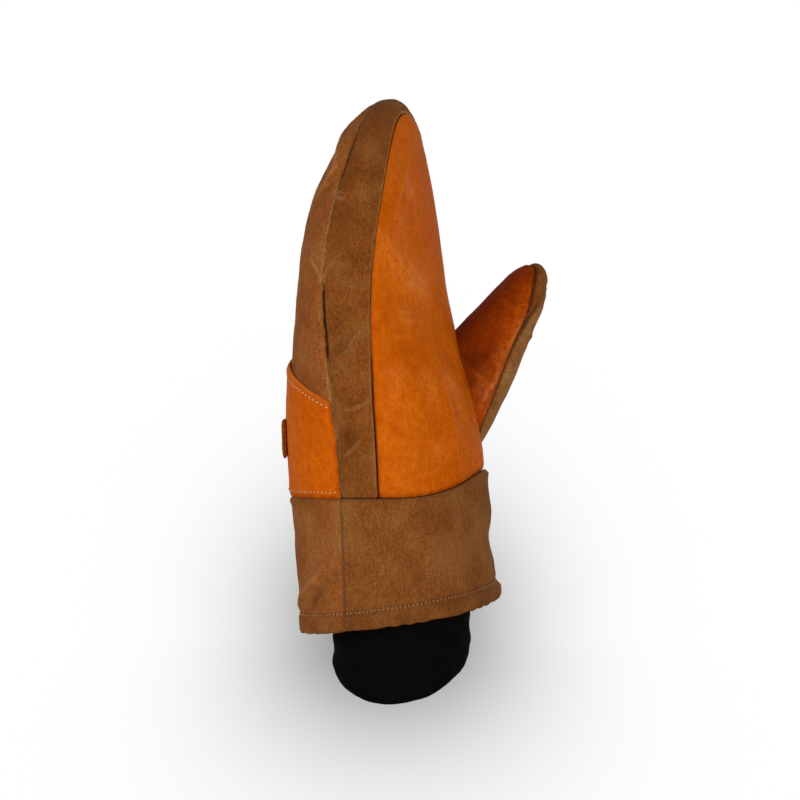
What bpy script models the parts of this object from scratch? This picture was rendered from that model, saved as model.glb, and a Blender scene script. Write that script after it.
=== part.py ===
# Winter mitten for the right hand: a canvas back, side strip and cuff, a leather palm and wrist
# band, a thumb with a leather pad, and a knitted cuff inside the canvas one.
# Metres. The origin is the middle of the wrist opening, +Z points to the fingertips, the palm
# faces -Y and the thumb is on the +X side.

import math
from collections import namedtuple

import bmesh
import bpy
from mathutils import Vector

# Heights above the wrist opening
TIP_HEIGHT = 0.2885
WRIST_HEIGHT = 0.0935
HEM_HEIGHT = 0.0320
FINGER_ROUND = 0.090

# Half width and depths of the hand, at its widest
HALF_WIDTH = 0.056
BACK_DEPTH = 0.052
PALM_DEPTH = 0.044
BOW = 0.009
SIDE_STRIP_WIDTH = 0.024
ROUNDNESS = 2.15

# Walls, and the gap that every seam leaves
SHELL_WALL = 0.0024
CUFF_WALL = 0.0020
CUFF_EASE = 0.0016
THUMB_WALL = 0.0022
SEAM_GAP = 0.0006

# The line where the cuff meets the hand rises towards the thumb and drops a little on the other
# side, and the hem slants with it
WRIST_RISE = 0.010
WRIST_DROP = 0.0025
WRIST_RISE_ANGLE = math.radians(290)
HEM_SLOPE = 0.16
HEM_SLOPE_ANGLE = math.radians(290)
HEM_FOLD = 0.009
HEM_WALL = 0.0034

# Leather band over the back of the wrist, with its loop
BAND_WALL = 0.0016
BAND_SIDE_HEIGHT = 0.0455
BAND_ARCH = 0.0205
BAND_ARCH_POWER = 0.62
LAYER_GAP = 0.0005
LOOP_HEIGHT = 0.026
LOOP_WIDTH = 0.018
LOOP_SPAN = 0.026
LOOP_OFFSET = -0.016
LOOP_RISE = 0.0010
LOOP_WALL = 0.0015

# Thumb: a straight centre line from a root inside the palm. The insets are the root's distances
# from the hand's side and from the palm, and the rise is its height above the wrist line.
THUMB_SIDE_INSET = 0.0318
THUMB_PALM_INSET = 0.0346
THUMB_RISE = 0.0276
THUMB_REACH = Vector((0.0431, -0.0431, 0.0842))
THUMB_ROUND = 0.028
THUMB_HALF_WIDTH = 0.026
THUMB_PAD_DEPTH = 0.025
THUMB_BACK_DEPTH = 0.024
THUMB_STRIP_WIDTH = 0.011
THUMB_TURN = math.radians(238)
THUMB_TWIST = math.radians(22)
THUMB_TIP_SHARE = 0.66

# Knitted cuff
KNIT_HALF_WIDTH = 0.0358
KNIT_HALF_DEPTH = 0.0340
KNIT_SHIFT = 0.0010
KNIT_WALL = 0.0030
KNIT_OVERLAP = 0.006
KNIT_FREE_HEIGHT = 0.0505
KNIT_RIM_SLOPE = 0.11
KNIT_RIM_DIP = 0.0060
KNIT_RIM_WAVE = 0.0035
KNIT_RIM_ANGLE = math.radians(200)
KNIT_CURL = 0.0020
KNIT_CURL_HEIGHT = 0.008

# How far the columns and rows of a face are packed towards its edges and its end
COLUMN_SWEEP = math.radians(72)
ROW_PACKING = 1.7

# Each column is a share of the size that it follows. Height runs from the wrist line at 0 to
# the fingertip at 1, and below 0 is the cuff.
Section = namedtuple("Section", "height width back palm bow strip twist")
HAND_SECTIONS = (
    Section(-0.36, 0.88, 0.85, 1.145, 0.29, 0.75, 0.0),
    Section(-0.18, 0.88, 0.905, 1.07, 0.27, 0.75, 0.0),
    Section(-0.05, 0.91, 0.955, 1.02, 0.25, 0.75, 0.0),
    Section(0.00, 0.93, 0.97, 0.99, 0.25, 0.76, 0.0),
    Section(0.12, 0.98, 0.965, 0.94, 0.31, 0.80, 0.0),
    Section(0.25, 1.00, 0.925, 0.875, 0.56, 0.88, 0.0),
    Section(0.37, 0.99, 0.85, 0.74, 0.82, 0.96, 0.0),
    Section(0.50, 0.98, 0.775, 0.62, 0.98, 1.00, 0.0),
    Section(0.62, 0.96, 0.75, 0.525, 0.92, 1.00, 0.0),
    Section(0.75, 0.95, 0.735, 0.425, 0.70, 0.90, 0.0),
    Section(0.88, 0.94, 0.68, 0.37, 0.52, 0.73, 0.0),
    Section(1.00, 0.93, 0.66, 0.42, 0.45, 0.59, 0.0),
)
THUMB_SECTIONS = (
    Section(0.00, 0.88, 0.88, 0.88, 0.0, 0.00, 1.15),
    Section(0.14, 0.90, 0.90, 0.90, 0.0, 0.00, 0.95),
    Section(0.40, 0.82, 0.78, 0.79, 0.0, 0.00, 0.32),
    Section(0.54, 0.74, 0.67, 0.67, 0.0, 0.00, 0.06),
    Section(0.69, 0.65, 0.55, 0.55, 0.0, 0.12, 0.00),
    Section(0.85, 0.56, 0.46, 0.46, 0.0, 0.80, 0.10),
    Section(1.00, 0.50, 0.42, 0.42, 0.0, 1.00, 0.25),
)

# Dents of the worn shell: both ends as shares of half width, back depth and hand length,
# then the reach and the depth in metres
Fold = namedtuple("Fold", "start end reach depth")
FOLDS = (
    Fold((-0.66, 0.40, 0.96), (-0.96, 0.34, 0.79), 0.006, 0.0016),
    Fold((-0.99, 0.36, 0.55), (-1.02, 0.34, 0.35), 0.006, 0.0020),
    Fold((-0.99, 0.10, 0.40), (-0.93, -0.22, 0.47), 0.006, 0.0012),
    Fold((-0.99, 0.12, 0.10), (-0.95, -0.14, 0.17), 0.006, 0.0012),
    Fold((-0.90, 0.75, -0.30), (-0.98, 0.40, -0.10), 0.007, 0.0018),
    Fold((0.30, -0.62, 0.30), (-0.20, -0.55, 0.62), 0.020, 0.0020),
    Fold((0.10, -0.86, -0.13), (0.60, -0.74, -0.12), 0.008, 0.0026),
)

COLOURS = {
    "canvas": ((0.20, 0.095, 0.035, 1.0), 0.85),
    "leather": ((0.55, 0.16, 0.022, 1.0), 0.45),
    "knit": ((0.010, 0.009, 0.010, 1.0), 0.95),
}


def clear_scene():
    for thing in list(bpy.data.objects):
        bpy.data.objects.remove(thing)


def make_material(name):
    colour, roughness = COLOURS[name]
    material = bpy.data.materials.new(name)
    material.use_nodes = True
    shader = material.node_tree.nodes["Principled BSDF"]
    shader.inputs["Base Color"].default_value = colour
    shader.inputs["Roughness"].default_value = roughness
    shader.inputs["Metallic"].default_value = 0.0
    return material


def read_rows(rows, column, at):
    """Value of one column at a height, on a smooth curve through the rows."""
    keys = [row.height for row in rows]
    values = [getattr(row, column) for row in rows]
    at = min(max(at, keys[0]), keys[-1])
    i = max(k for k in range(len(keys) - 1) if keys[k] <= at)

    def slope(k):
        low, high = max(k - 1, 0), min(k + 1, len(keys) - 1)
        return (values[high] - values[low]) / (keys[high] - keys[low])

    span = keys[i + 1] - keys[i]
    t = (at - keys[i]) / span
    return (
        values[i] * (1 + 2 * t) * (1 - t) ** 2
        + slope(i) * span * t * (1 - t) ** 2
        + values[i + 1] * t * t * (3 - 2 * t)
        + slope(i + 1) * span * t * t * (t - 1)
    )


class Pouch:
    """A stuffed pouch: rounded sections along a centre line, closed by a rounded end.

    Its own coordinates are across, depth (positive on the back) and along.
    """

    def __init__(self, rows, length, round_end, sizes, base, axes):
        self.rows, self.length, self.round_end = rows, length, round_end
        self.sizes, self.base, self.axes = sizes, base, axes
        self.crown = length - round_end

    def size(self, column, along):
        return self.sizes[column] * read_rows(self.rows, column, along / self.length)

    def depth(self, side, along):
        return self.size("back" if side > 0 else "palm", along)

    def strip(self, along):
        return self.size("strip", along) / 2

    def turned_axes(self, along):
        """The across and depth axes, turned by the twist that the pouch has here."""
        across_axis, depth_axis, _ = self.axes
        twist = self.size("twist", along)
        cos, sin = math.cos(twist), math.sin(twist)
        return (
            cos * across_axis + sin * depth_axis,
            cos * depth_axis - sin * across_axis,
        )

    def place(self, across, depth, along):
        across_axis, depth_axis = self.turned_axes(along)
        bow = self.size("bow", along)
        return (
            self.base
            + across * across_axis
            + (depth + bow) * depth_axis
            + along * self.axes[2]
        )

    def local(self, point):
        offset = point - self.base
        along = offset.dot(self.axes[2])
        across, depth = (offset.dot(axis) for axis in self.turned_axes(along))
        return across, depth - self.size("bow", along), along

    def level(self, point):
        """Below 0 inside the pouch and above 0 outside it."""
        across, depth, along = self.local(point)
        end = max(0.0, along - self.crown) / self.round_end
        share = math.hypot(across / self.size("width", along), end)
        side = 1 if depth > 0 else -1
        return share**ROUNDNESS + abs(depth / self.depth(side, along)) ** ROUNDNESS - 1

    def normal(self, point):
        step = 1e-5
        nudges = [Vector((step, 0, 0)), Vector((0, step, 0)), Vector((0, 0, step))]
        slope = Vector(self.level(point + n) - self.level(point - n) for n in nudges)
        return slope.normalized()

    def edge_share(self, depth, side, along):
        """How far out, as a share of the outline, the surface has this depth."""
        share = min(1.0, abs(depth) / self.depth(side, along))
        return (1 - share**ROUNDNESS) ** (1 / ROUNDNESS)

    def face_top(self, side, margin):
        """Where along the pouch a face ends that stops short of the outline by a depth."""
        along = self.length
        for _ in range(12):
            edge = self.edge_share(margin(along), side, along)
            along = self.crown + self.round_end * edge
        return along

    def on_face(self, side, across_share, along, margin):
        """Point of the palm or back face; across_share runs from -1 to 1, edge to edge."""
        edge = self.edge_share(margin(along), side, along)
        end = max(0.0, along - self.crown) / self.round_end
        width = self.size("width", along)
        across = across_share * width * math.sqrt(max(0.0, edge**2 - end**2))
        share = math.hypot(across / width, end)
        depth = self.depth(side, along) * max(0.0, 1 - share**ROUNDNESS) ** (
            1 / ROUNDNESS
        )
        return self.place(across, side * depth, along)

    def on_rim(self, turn, along, depth):
        """Point beside the outline. Turn goes from 0 at one side to pi at the other."""
        side = 1 if depth > 0 else -1
        at = along
        for _ in range(4):
            edge = self.edge_share(depth, side, at)
            at = along + edge * self.round_end * math.sin(turn)
        across = -self.size("width", at) * edge * math.cos(turn)
        return self.place(across, depth, at)

    def on_ring(self, angle, along):
        """Point of the section at a height, below the rounded end."""

        def power(value):
            return math.copysign(abs(value) ** (2 / ROUNDNESS), value)

        side = 1 if math.sin(angle) > 0 else -1
        across = self.size("width", along) * power(math.cos(angle))
        return self.place(
            across, self.depth(side, along) * power(math.sin(angle)), along
        )


def make_hand():
    sizes = {
        "width": HALF_WIDTH,
        "back": BACK_DEPTH,
        "palm": PALM_DEPTH,
        "bow": BOW,
        "strip": SIDE_STRIP_WIDTH,
        "twist": 0.0,
    }
    axes = (Vector((1, 0, 0)), Vector((0, 1, 0)), Vector((0, 0, 1)))
    length = TIP_HEIGHT - WRIST_HEIGHT
    base = Vector((0, 0, WRIST_HEIGHT))
    return Pouch(HAND_SECTIONS, length, FINGER_ROUND, sizes, base, axes)


def make_thumb():
    sizes = {
        "width": THUMB_HALF_WIDTH,
        "back": THUMB_BACK_DEPTH,
        "palm": THUMB_PAD_DEPTH,
        "bow": 0.0,
        "strip": THUMB_STRIP_WIDTH,
        "twist": THUMB_TWIST,
    }
    root = Vector(
        (
            HALF_WIDTH - THUMB_SIDE_INSET,
            THUMB_PALM_INSET - PALM_DEPTH,
            WRIST_HEIGHT + THUMB_RISE,
        )
    )
    along_axis = THUMB_REACH.normalized()
    turned = Vector((math.cos(THUMB_TURN), math.sin(THUMB_TURN), 0))
    across_axis = (turned - turned.dot(along_axis) * along_axis).normalized()
    depth_axis = along_axis.cross(across_axis)
    axes = (across_axis, depth_axis, along_axis)
    return Pouch(THUMB_SECTIONS, THUMB_REACH.length, THUMB_ROUND, sizes, root, axes)


def packed_share(across):
    """Column place from -1 to 1, with the columns packed towards both edges."""
    return math.sin((2 * across - 1) * COLUMN_SWEEP) / math.sin(COLUMN_SWEEP)


def packed_rise(up):
    """Row place from 0 to 1, with the rows packed towards the far end."""
    return 1 - (1 - up) ** ROW_PACKING


def fold_depth(point):
    """How deep the folds press the hand's surface in at a point."""
    total = 0.0
    scale = Vector((HALF_WIDTH, BACK_DEPTH, TIP_HEIGHT - WRIST_HEIGHT))
    for fold in FOLDS:
        start = Vector(fold.start) * scale + Vector((0, 0, WRIST_HEIGHT))
        end = Vector(fold.end) * scale + Vector((0, 0, WRIST_HEIGHT))
        run = end - start
        t = min(1.0, max(0.0, (point - start).dot(run) / run.length_squared))
        away = (point - start - t * run).length
        total += fold.depth * math.exp(-((away / fold.reach) ** 2))
    return total


def wrist_line(point, middle):
    """Height of the seam between hand and cuff, on the side that a point is on."""
    angle = math.atan2(point.y - middle.y, point.x - middle.x)
    towards = math.cos(angle - WRIST_RISE_ANGLE)
    change = WRIST_RISE if towards > 0 else -WRIST_DROP
    return WRIST_HEIGHT + change * towards**2


def slanted(point, height, slope, angle):
    """Height of a slanted plane under a point."""
    return height + slope * (point.x * math.cos(angle) + point.y * math.sin(angle))


def add_object(name, bm, material):
    bmesh.ops.remove_doubles(bm, verts=bm.verts, dist=1e-6)
    bmesh.ops.dissolve_degenerate(bm, edges=bm.edges, dist=1e-6)
    bmesh.ops.recalc_face_normals(bm, faces=bm.faces)
    mesh = bpy.data.meshes.new(name)
    bm.to_mesh(mesh)
    bm.free()
    mesh.shade_smooth()
    mesh.set_sharp_from_angle(angle=math.radians(50))
    if material:
        mesh.materials.append(material)
    thing = bpy.data.objects.new(name, mesh)
    bpy.context.scene.collection.objects.link(thing)
    return thing


def add_wall(name, columns, rows, surface, material):
    """A wall shaped from a flat grid.

    surface(across, up) gives a point, its outward normal and the wall's thickness there, with
    across and up from 0 to 1.
    """
    bm = bmesh.new()
    bmesh.ops.create_grid(bm, x_segments=columns, y_segments=rows, size=1.0)
    inward = bm.verts.layers.float_vector.new("inward")
    for vert in bm.verts:
        across, up = (vert.co.x + 1) / 2, (vert.co.y + 1) / 2
        point, normal, thickness = surface(across, up)
        vert.co = point
        vert[inward] = -thickness * normal
    copied = bmesh.ops.extrude_face_region(bm, geom=list(bm.faces))
    for vert in (v for v in copied["geom"] if isinstance(v, bmesh.types.BMVert)):
        vert.co += vert[inward]
    return add_object(name, bm, material)


def solid_pouch(name, pouch, grow, low, columns, rows):
    """A closed helper of the pouch's own shape, grown or shrunk, that cuts other pieces."""
    bm = bmesh.new()
    top = pouch.face_top(1, lambda along: 0.0)
    for side in (1, -1):
        made = bmesh.ops.create_grid(bm, x_segments=columns, y_segments=rows, size=1.0)
        for vert in made["verts"]:
            across = math.sin(vert.co.x * math.pi / 2)
            along = low + (top - low) * packed_rise((vert.co.y + 1) / 2)
            point = pouch.on_face(side, across, along, lambda along: 0.0)
            vert.co = point + grow * pouch.normal(point)
    bmesh.ops.remove_doubles(bm, verts=bm.verts, dist=1e-6)
    open_edges = [edge for edge in bm.edges if edge.is_boundary]
    bmesh.ops.holes_fill(bm, edges=open_edges, sides=0)
    bmesh.ops.triangulate(bm, faces=[f for f in bm.faces if len(f.verts) > 4])
    helper = add_object(name, bm, None)
    helper.hide_render = True
    helper.display_type = "WIRE"
    return helper


def cut(thing, cutter):
    boolean = thing.modifiers.new("cut_" + cutter.name, "BOOLEAN")
    boolean.operation = "DIFFERENCE"
    boolean.solver = "EXACT"
    boolean.object = cutter


def add_hand_face(name, hand, side, columns, rows, material):
    """The palm or the back, from the wrist line up to the side strip."""

    def margin(along):
        return hand.strip(along) + SEAM_GAP / 2

    top = hand.face_top(side, margin)
    middle = hand.place(0, 0, 0)

    def surface(across, up):
        share = packed_share(across)
        foot = hand.on_face(side, share, 0.0, margin)
        low = wrist_line(foot, middle) - WRIST_HEIGHT + SEAM_GAP / 2
        along = low + (top - low) * packed_rise(up)
        point = hand.on_face(side, share, along, margin)
        normal = hand.normal(point)
        return point - fold_depth(point) * normal, normal, SHELL_WALL

    return add_wall(name, columns, rows, surface, material)


def add_side_strip(name, hand, columns, rows, material):
    """The strip round the edge of the hand, from the wrist over the fingertips and back."""
    straight = hand.crown
    arc = math.pi * (HALF_WIDTH + FINGER_ROUND) / 2
    whole = 2 * straight + arc
    middle = hand.place(0, 0, 0)

    def surface(across, up):
        run = up * whole
        turn = math.pi * min(1.0, max(0.0, (run - straight) / arc))
        share = 2 * across - 1
        foot_turn = 0.0 if up < 0.5 else math.pi
        foot = hand.on_rim(foot_turn, 0.0, share * hand.strip(0.0))
        low = wrist_line(foot, middle) - WRIST_HEIGHT + SEAM_GAP / 2
        beside = min(run, whole - run)
        along = low + (straight - low) * min(1.0, beside / straight)
        half = hand.strip(along) - SEAM_GAP / 2
        for _ in range(4):
            point = hand.on_rim(turn, along, share * half)
            half = hand.strip(hand.local(point)[2]) - SEAM_GAP / 2
        normal = hand.normal(point)
        return point - fold_depth(point) * normal, normal, SHELL_WALL

    return add_wall(name, columns, rows, surface, material)


def add_thumb_face(name, thumb, side, columns, rows, material):
    def margin(along):
        return thumb.strip(along) + SEAM_GAP / 2

    top = thumb.face_top(side, margin)

    def surface(across, up):
        point = thumb.on_face(
            side, packed_share(across), top * packed_rise(up), margin
        )
        return point, thumb.normal(point), THUMB_WALL

    return add_wall(name, columns, rows, surface, material)


def add_thumb_strip(name, thumb, columns, rows, material):
    """The strip over the thumb's end, which narrows to nothing down both sides."""
    start = next(
        along
        for along in (thumb.length * share / 100 for share in range(100))
        if thumb.strip(along) > 2 * SEAM_GAP
    )
    straight = thumb.crown - start
    arc = math.pi * (THUMB_HALF_WIDTH * THUMB_TIP_SHARE + THUMB_ROUND) / 2
    whole = 2 * straight + arc

    def surface(across, up):
        run = up * whole
        turn = math.pi * min(1.0, max(0.0, (run - straight) / arc))
        beside = min(run, whole - run)
        along = start + min(straight, beside)
        half = thumb.strip(along) - SEAM_GAP / 2
        for _ in range(4):
            point = thumb.on_rim(turn, along, (2 * across - 1) * half)
            half = thumb.strip(thumb.local(point)[2]) - SEAM_GAP / 2
        return point, thumb.normal(point), THUMB_WALL

    return add_wall(name, columns, rows, surface, material)


def strip_angle(hand, along):
    """Angle on the section's ring where the side strip meets the back."""
    share = hand.strip(along) / hand.depth(1, along)
    return math.asin(share ** (ROUNDNESS / 2))


def add_cuff(name, hand, side, columns, rows, material):
    """Half of the canvas cuff: the back runs from side seam to side seam, and so does the palm."""
    middle = hand.place(0, 0, 0)

    def surface(across, up):
        top_seam = strip_angle(hand, 0.0)
        margin = SEAM_GAP / 2 / HALF_WIDTH
        if side > 0:
            start, end = math.pi - top_seam - margin, top_seam + margin
        else:
            start, end = math.pi - top_seam + margin, 2 * math.pi + top_seam - margin
        angle = start + (end - start) * across
        foot = hand.on_ring(angle, 0.0)
        high = wrist_line(foot, middle) - SEAM_GAP / 2
        hem = slanted(foot, HEM_HEIGHT, HEM_SLOPE, HEM_SLOPE_ANGLE)
        steps = [0.0, HEM_FOLD, HEM_FOLD * 1.25]
        rest = rows + 1 - len(steps)
        steps += [
            steps[-1] + (high - hem - steps[-1]) * (k + 1) / rest for k in range(rest)
        ]
        row = round(up * rows)
        point = hand.on_ring(angle, hem + steps[row] - WRIST_HEIGHT)
        normal = hand.normal(point)
        wall = HEM_WALL if row < 2 else CUFF_WALL
        return point + (CUFF_EASE - fold_depth(point)) * normal, normal, wall

    return add_wall(name, columns, rows, surface, material)


def add_knit_cuff(name, hand, columns, rows, material):
    """Knitted tube: free round the wrist, and flaring above to the shell that it is sewn to."""
    middle = hand.place(0, 0, 0)

    def outside(angle, up):
        foot = hand.on_ring(angle, 0.0)
        top = wrist_line(foot, middle) + KNIT_OVERLAP
        wrist = Vector(
            (KNIT_HALF_WIDTH * math.cos(angle), KNIT_HALF_DEPTH * math.sin(angle), 0)
        )
        rim = slanted(wrist, 0.0, KNIT_RIM_SLOPE, HEM_SLOPE_ANGLE)
        rim -= KNIT_RIM_DIP * math.cos(angle - KNIT_RIM_ANGLE)
        rim -= KNIT_RIM_WAVE * math.cos(2 * (angle - KNIT_RIM_ANGLE))
        height = rim + (top - rim) * up
        flare = min(
            1.0,
            max(0.0, (height - KNIT_FREE_HEIGHT) / (WRIST_HEIGHT - KNIT_FREE_HEIGHT)),
        )
        flare = flare * flare * (3 - 2 * flare)
        curl = max(0.0, 1 - (height - rim) / KNIT_CURL_HEIGHT)
        wrist -= KNIT_CURL * curl * curl * wrist.normalized()
        wrist.x += KNIT_SHIFT * math.cos(WRIST_RISE_ANGLE)
        wrist.y += KNIT_SHIFT * math.sin(WRIST_RISE_ANGLE)
        wrist.z = height
        shell = hand.on_ring(angle, height - WRIST_HEIGHT)
        shell -= (fold_depth(shell) + SHELL_WALL + LAYER_GAP) * hand.normal(shell)
        shell.z = height
        return wrist.lerp(shell, flare)

    bm = bmesh.new()
    walls = []
    for thickness in (0.0, KNIT_WALL):
        rings = []
        for row in range(rows + 1):
            ring = []
            for column in range(columns):
                angle = 2 * math.pi * column / columns
                up = row / rows
                point = outside(angle, up)
                beside = outside(angle + 0.01, up) - point
                above = outside(angle, min(1.0, up + 0.01)) - outside(
                    angle, max(0.0, up - 0.01)
                )
                normal = beside.cross(above).normalized()
                ring.append(bm.verts.new(point - thickness * normal))
            rings.append(ring)
        walls.append(rings)
    outer, inner = walls
    for column in range(columns):
        after = (column + 1) % columns
        for row in range(rows):
            for rings in walls:
                low, high = rings[row], rings[row + 1]
                bm.faces.new((low[column], low[after], high[after], high[column]))
        for row in (0, rows):
            bm.faces.new(
                (
                    outer[row][column],
                    outer[row][after],
                    inner[row][after],
                    inner[row][column],
                )
            )
    return add_object(name, bm, material)


def band_top(across_share):
    """Height of the band's upper edge, arched over the back of the hand."""
    rise = max(0.0, 1 - across_share**2) ** BAND_ARCH_POWER
    return BAND_SIDE_HEIGHT + BAND_ARCH * rise


def add_band(name, hand, columns, rows, material):
    """Leather band lying on the canvas back, from the wrist line to its arched upper edge."""
    middle = hand.place(0, 0, 0)

    def margin(along):
        return hand.strip(along) + SEAM_GAP / 2

    def surface(across, up):
        share = packed_share(across)
        foot = hand.on_face(1, share, 0.0, margin)
        low = wrist_line(foot, middle) - WRIST_HEIGHT + SEAM_GAP / 2
        along = low + (band_top(share) - low) * up
        point = hand.on_face(1, share, along, margin)
        normal = hand.normal(point)
        lift = LAYER_GAP + BAND_WALL - fold_depth(point)
        return point + lift * normal, normal, BAND_WALL

    return add_wall(name, columns, rows, surface, material)


def add_loop(name, hand, columns, rows, material):
    """Leather loop bridging the band, sewn down at both ends."""

    def margin(along):
        return hand.strip(along)

    def surface(across, up):
        along = LOOP_HEIGHT + (up - 0.5) * LOOP_WIDTH
        x = LOOP_OFFSET + (across - 0.5) * LOOP_SPAN
        width = hand.size("width", along) * hand.edge_share(margin(along), 1, along)
        point = hand.on_face(1, x / width, along, margin)
        normal = hand.normal(point)
        arch = math.sin(math.pi * across) ** 0.8
        corner = 1 - 0.35 * abs(2 * up - 1) ** 4
        lift = (
            2 * LAYER_GAP
            + BAND_WALL
            + LOOP_WALL
            + LOOP_RISE * arch * corner
            - fold_depth(point)
        )
        return point + lift * normal, normal, LOOP_WALL

    return add_wall(name, columns, rows, surface, material)


def build():
    clear_scene()
    canvas, leather, knit = (
        make_material(name) for name in ("canvas", "leather", "knit")
    )
    hand, thumb = make_hand(), make_thumb()

    palm = add_hand_face("palm_panel", hand, -1, 18, 18, leather)
    add_hand_face("back_panel", hand, 1, 18, 18, canvas)
    strip = add_side_strip("side_strip", hand, 4, 58, canvas)
    pad = add_thumb_face("thumb_pad", thumb, -1, 10, 12, leather)
    thumb_back = add_thumb_face("thumb_back", thumb, 1, 10, 12, canvas)
    add_thumb_strip("thumb_strip", thumb, 2, 20, canvas)
    add_cuff("cuff_back", hand, 1, 16, 7, canvas)
    add_cuff("cuff_palm", hand, -1, 16, 7, canvas)
    add_band("wrist_band", hand, 18, 6, leather)
    add_loop("band_loop", hand, 10, 2, leather)
    add_knit_cuff("knit_cuff", hand, 32, 10, knit)

    thumb_hole = solid_pouch("thumb_hole", thumb, SEAM_GAP, 0.0, 30, 22)
    hand_hollow = solid_pouch("hand_hollow", hand, -SHELL_WALL, 0.0, 24, 20)
    for panel in (palm, strip):
        cut(panel, thumb_hole)
    for panel in (pad, thumb_back):
        cut(panel, hand_hollow)


build()
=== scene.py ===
import math

import bmesh
import bpy
import numpy as np
from mathutils import Matrix, Vector, bvhtree, kdtree, noise


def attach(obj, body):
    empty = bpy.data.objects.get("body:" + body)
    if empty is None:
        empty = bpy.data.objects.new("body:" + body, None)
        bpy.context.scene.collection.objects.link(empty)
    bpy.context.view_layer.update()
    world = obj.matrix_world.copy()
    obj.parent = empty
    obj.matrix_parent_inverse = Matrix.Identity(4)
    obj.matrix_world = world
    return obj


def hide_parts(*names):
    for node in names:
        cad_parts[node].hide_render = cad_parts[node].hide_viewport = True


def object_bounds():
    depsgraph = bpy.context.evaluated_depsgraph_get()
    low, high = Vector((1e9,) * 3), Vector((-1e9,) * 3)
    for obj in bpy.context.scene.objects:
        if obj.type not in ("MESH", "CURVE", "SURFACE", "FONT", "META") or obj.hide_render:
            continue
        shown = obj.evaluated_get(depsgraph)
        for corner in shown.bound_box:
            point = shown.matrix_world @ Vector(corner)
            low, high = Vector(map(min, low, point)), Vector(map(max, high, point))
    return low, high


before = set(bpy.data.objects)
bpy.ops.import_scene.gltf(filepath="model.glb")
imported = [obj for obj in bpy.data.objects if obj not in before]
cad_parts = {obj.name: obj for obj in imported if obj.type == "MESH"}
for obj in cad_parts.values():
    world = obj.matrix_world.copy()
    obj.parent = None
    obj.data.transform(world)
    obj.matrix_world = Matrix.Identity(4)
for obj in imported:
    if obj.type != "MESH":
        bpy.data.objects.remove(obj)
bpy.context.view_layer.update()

# camera
cameraView = {
    "azimuth": 290, "elevation": 3, "distance": 1.5, "lens": 135, "sensor": 36, "aimHeight": 0.1385,
    "picture": 800,  # side of the picture in its own places
    "search": (0.12, 0.06, 700),  # before and behind the aim, and in how many steps, for what a place shows
}


def addObject(name, data):
    made = bpy.data.objects.new(name, data)
    bpy.context.scene.collection.objects.link(made)
    return made


def towards(azimuth, elevation):
    turn, rise = math.radians(azimuth), math.radians(elevation)
    return Vector((math.sin(turn) * math.cos(rise), -math.cos(turn) * math.cos(rise), math.sin(rise)))


def makeCamera():
    aim = Vector((0, 0, cameraView["aimHeight"]))
    away = towards(cameraView["azimuth"], cameraView["elevation"])
    data = bpy.data.cameras.new("studioCamera")
    data.lens, data.sensor_width = cameraView["lens"], cameraView["sensor"]
    camera = addObject("studioCamera", data)
    camera.location = aim + away * cameraView["distance"]
    camera.rotation_euler = (-away).to_track_quat("-Z", "Y").to_euler()
    bpy.context.scene.camera = camera
    return camera


camera = makeCamera()
print("camera placed")


# the two stuffed forms that every panel lies on
roundness = 2.15  # 2 is an ellipse, more is boxier
handForm = {
    "rows": {  # shares of the sizes below, from under the cuff to the fingertips
        "height": (-0.36, -0.18, -0.05, 0.00, 0.12, 0.25, 0.37, 0.50, 0.62, 0.75, 0.88, 1.00),
        "width": (0.88, 0.88, 0.91, 0.93, 0.98, 1.00, 0.99, 0.98, 0.96, 0.95, 0.94, 0.93),
        "back": (0.85, 0.905, 0.955, 0.97, 0.965, 0.925, 0.85, 0.775, 0.75, 0.735, 0.68, 0.66),
        "palm": (1.145, 1.07, 1.02, 0.99, 0.94, 0.875, 0.74, 0.62, 0.525, 0.425, 0.37, 0.42),
        "bow": (0.29, 0.27, 0.25, 0.25, 0.31, 0.56, 0.82, 0.98, 0.92, 0.70, 0.52, 0.45),
        "strip": (0.75, 0.75, 0.75, 0.76, 0.80, 0.88, 0.96, 1.00, 1.00, 0.90, 0.73, 0.59),
        "twist": (0, 0, 0, 0, 0, 0, 0, 0, 0, 0, 0, 0),
    },
    "sizes": {"width": 0.056, "back": 0.052, "palm": 0.044, "bow": 0.009, "strip": 0.024, "twist": 0.0},
    "length": 0.195,
    "roundEnd": 0.090,
    "base": np.array((0, 0, 0.0935)),
    "axes": np.eye(3),
}
thumbForm = {
    "rows": {
        "height": (0.00, 0.14, 0.40, 0.54, 0.69, 0.85, 1.00),
        "width": (0.88, 0.90, 0.82, 0.74, 0.65, 0.56, 0.50),
        "back": (0.88, 0.90, 0.78, 0.67, 0.55, 0.46, 0.42),
        "palm": (0.88, 0.90, 0.79, 0.67, 0.55, 0.46, 0.42),
        "bow": (0, 0, 0, 0, 0, 0, 0),
        "strip": (0.00, 0.00, 0.00, 0.00, 0.12, 0.80, 1.00),
        "twist": (1.15, 0.95, 0.32, 0.06, 0.00, 0.10, 0.25),
    },
    "sizes": {"width": 0.026, "back": 0.024, "palm": 0.025, "bow": 1.0, "strip": 0.011,
              "twist": math.radians(22)},
    "roundEnd": 0.028,
    "base": np.array((0.0242, -0.0094, 0.1211)),
    "reach": np.array((0.0431, -0.0431, 0.0842)),
    "turn": math.radians(238),
}


def finishForms():
    thumbForm["length"] = float(np.linalg.norm(thumbForm["reach"]))
    along = thumbForm["reach"] / thumbForm["length"]
    level = np.array((math.cos(thumbForm["turn"]), math.sin(thumbForm["turn"]), 0))
    across = level - level.dot(along) * along
    across /= np.linalg.norm(across)
    thumbForm["axes"] = np.array((across, np.cross(along, across), along))
    for form in (handForm, thumbForm):
        form["crown"] = form["length"] - form["roundEnd"]


finishForms()


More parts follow.
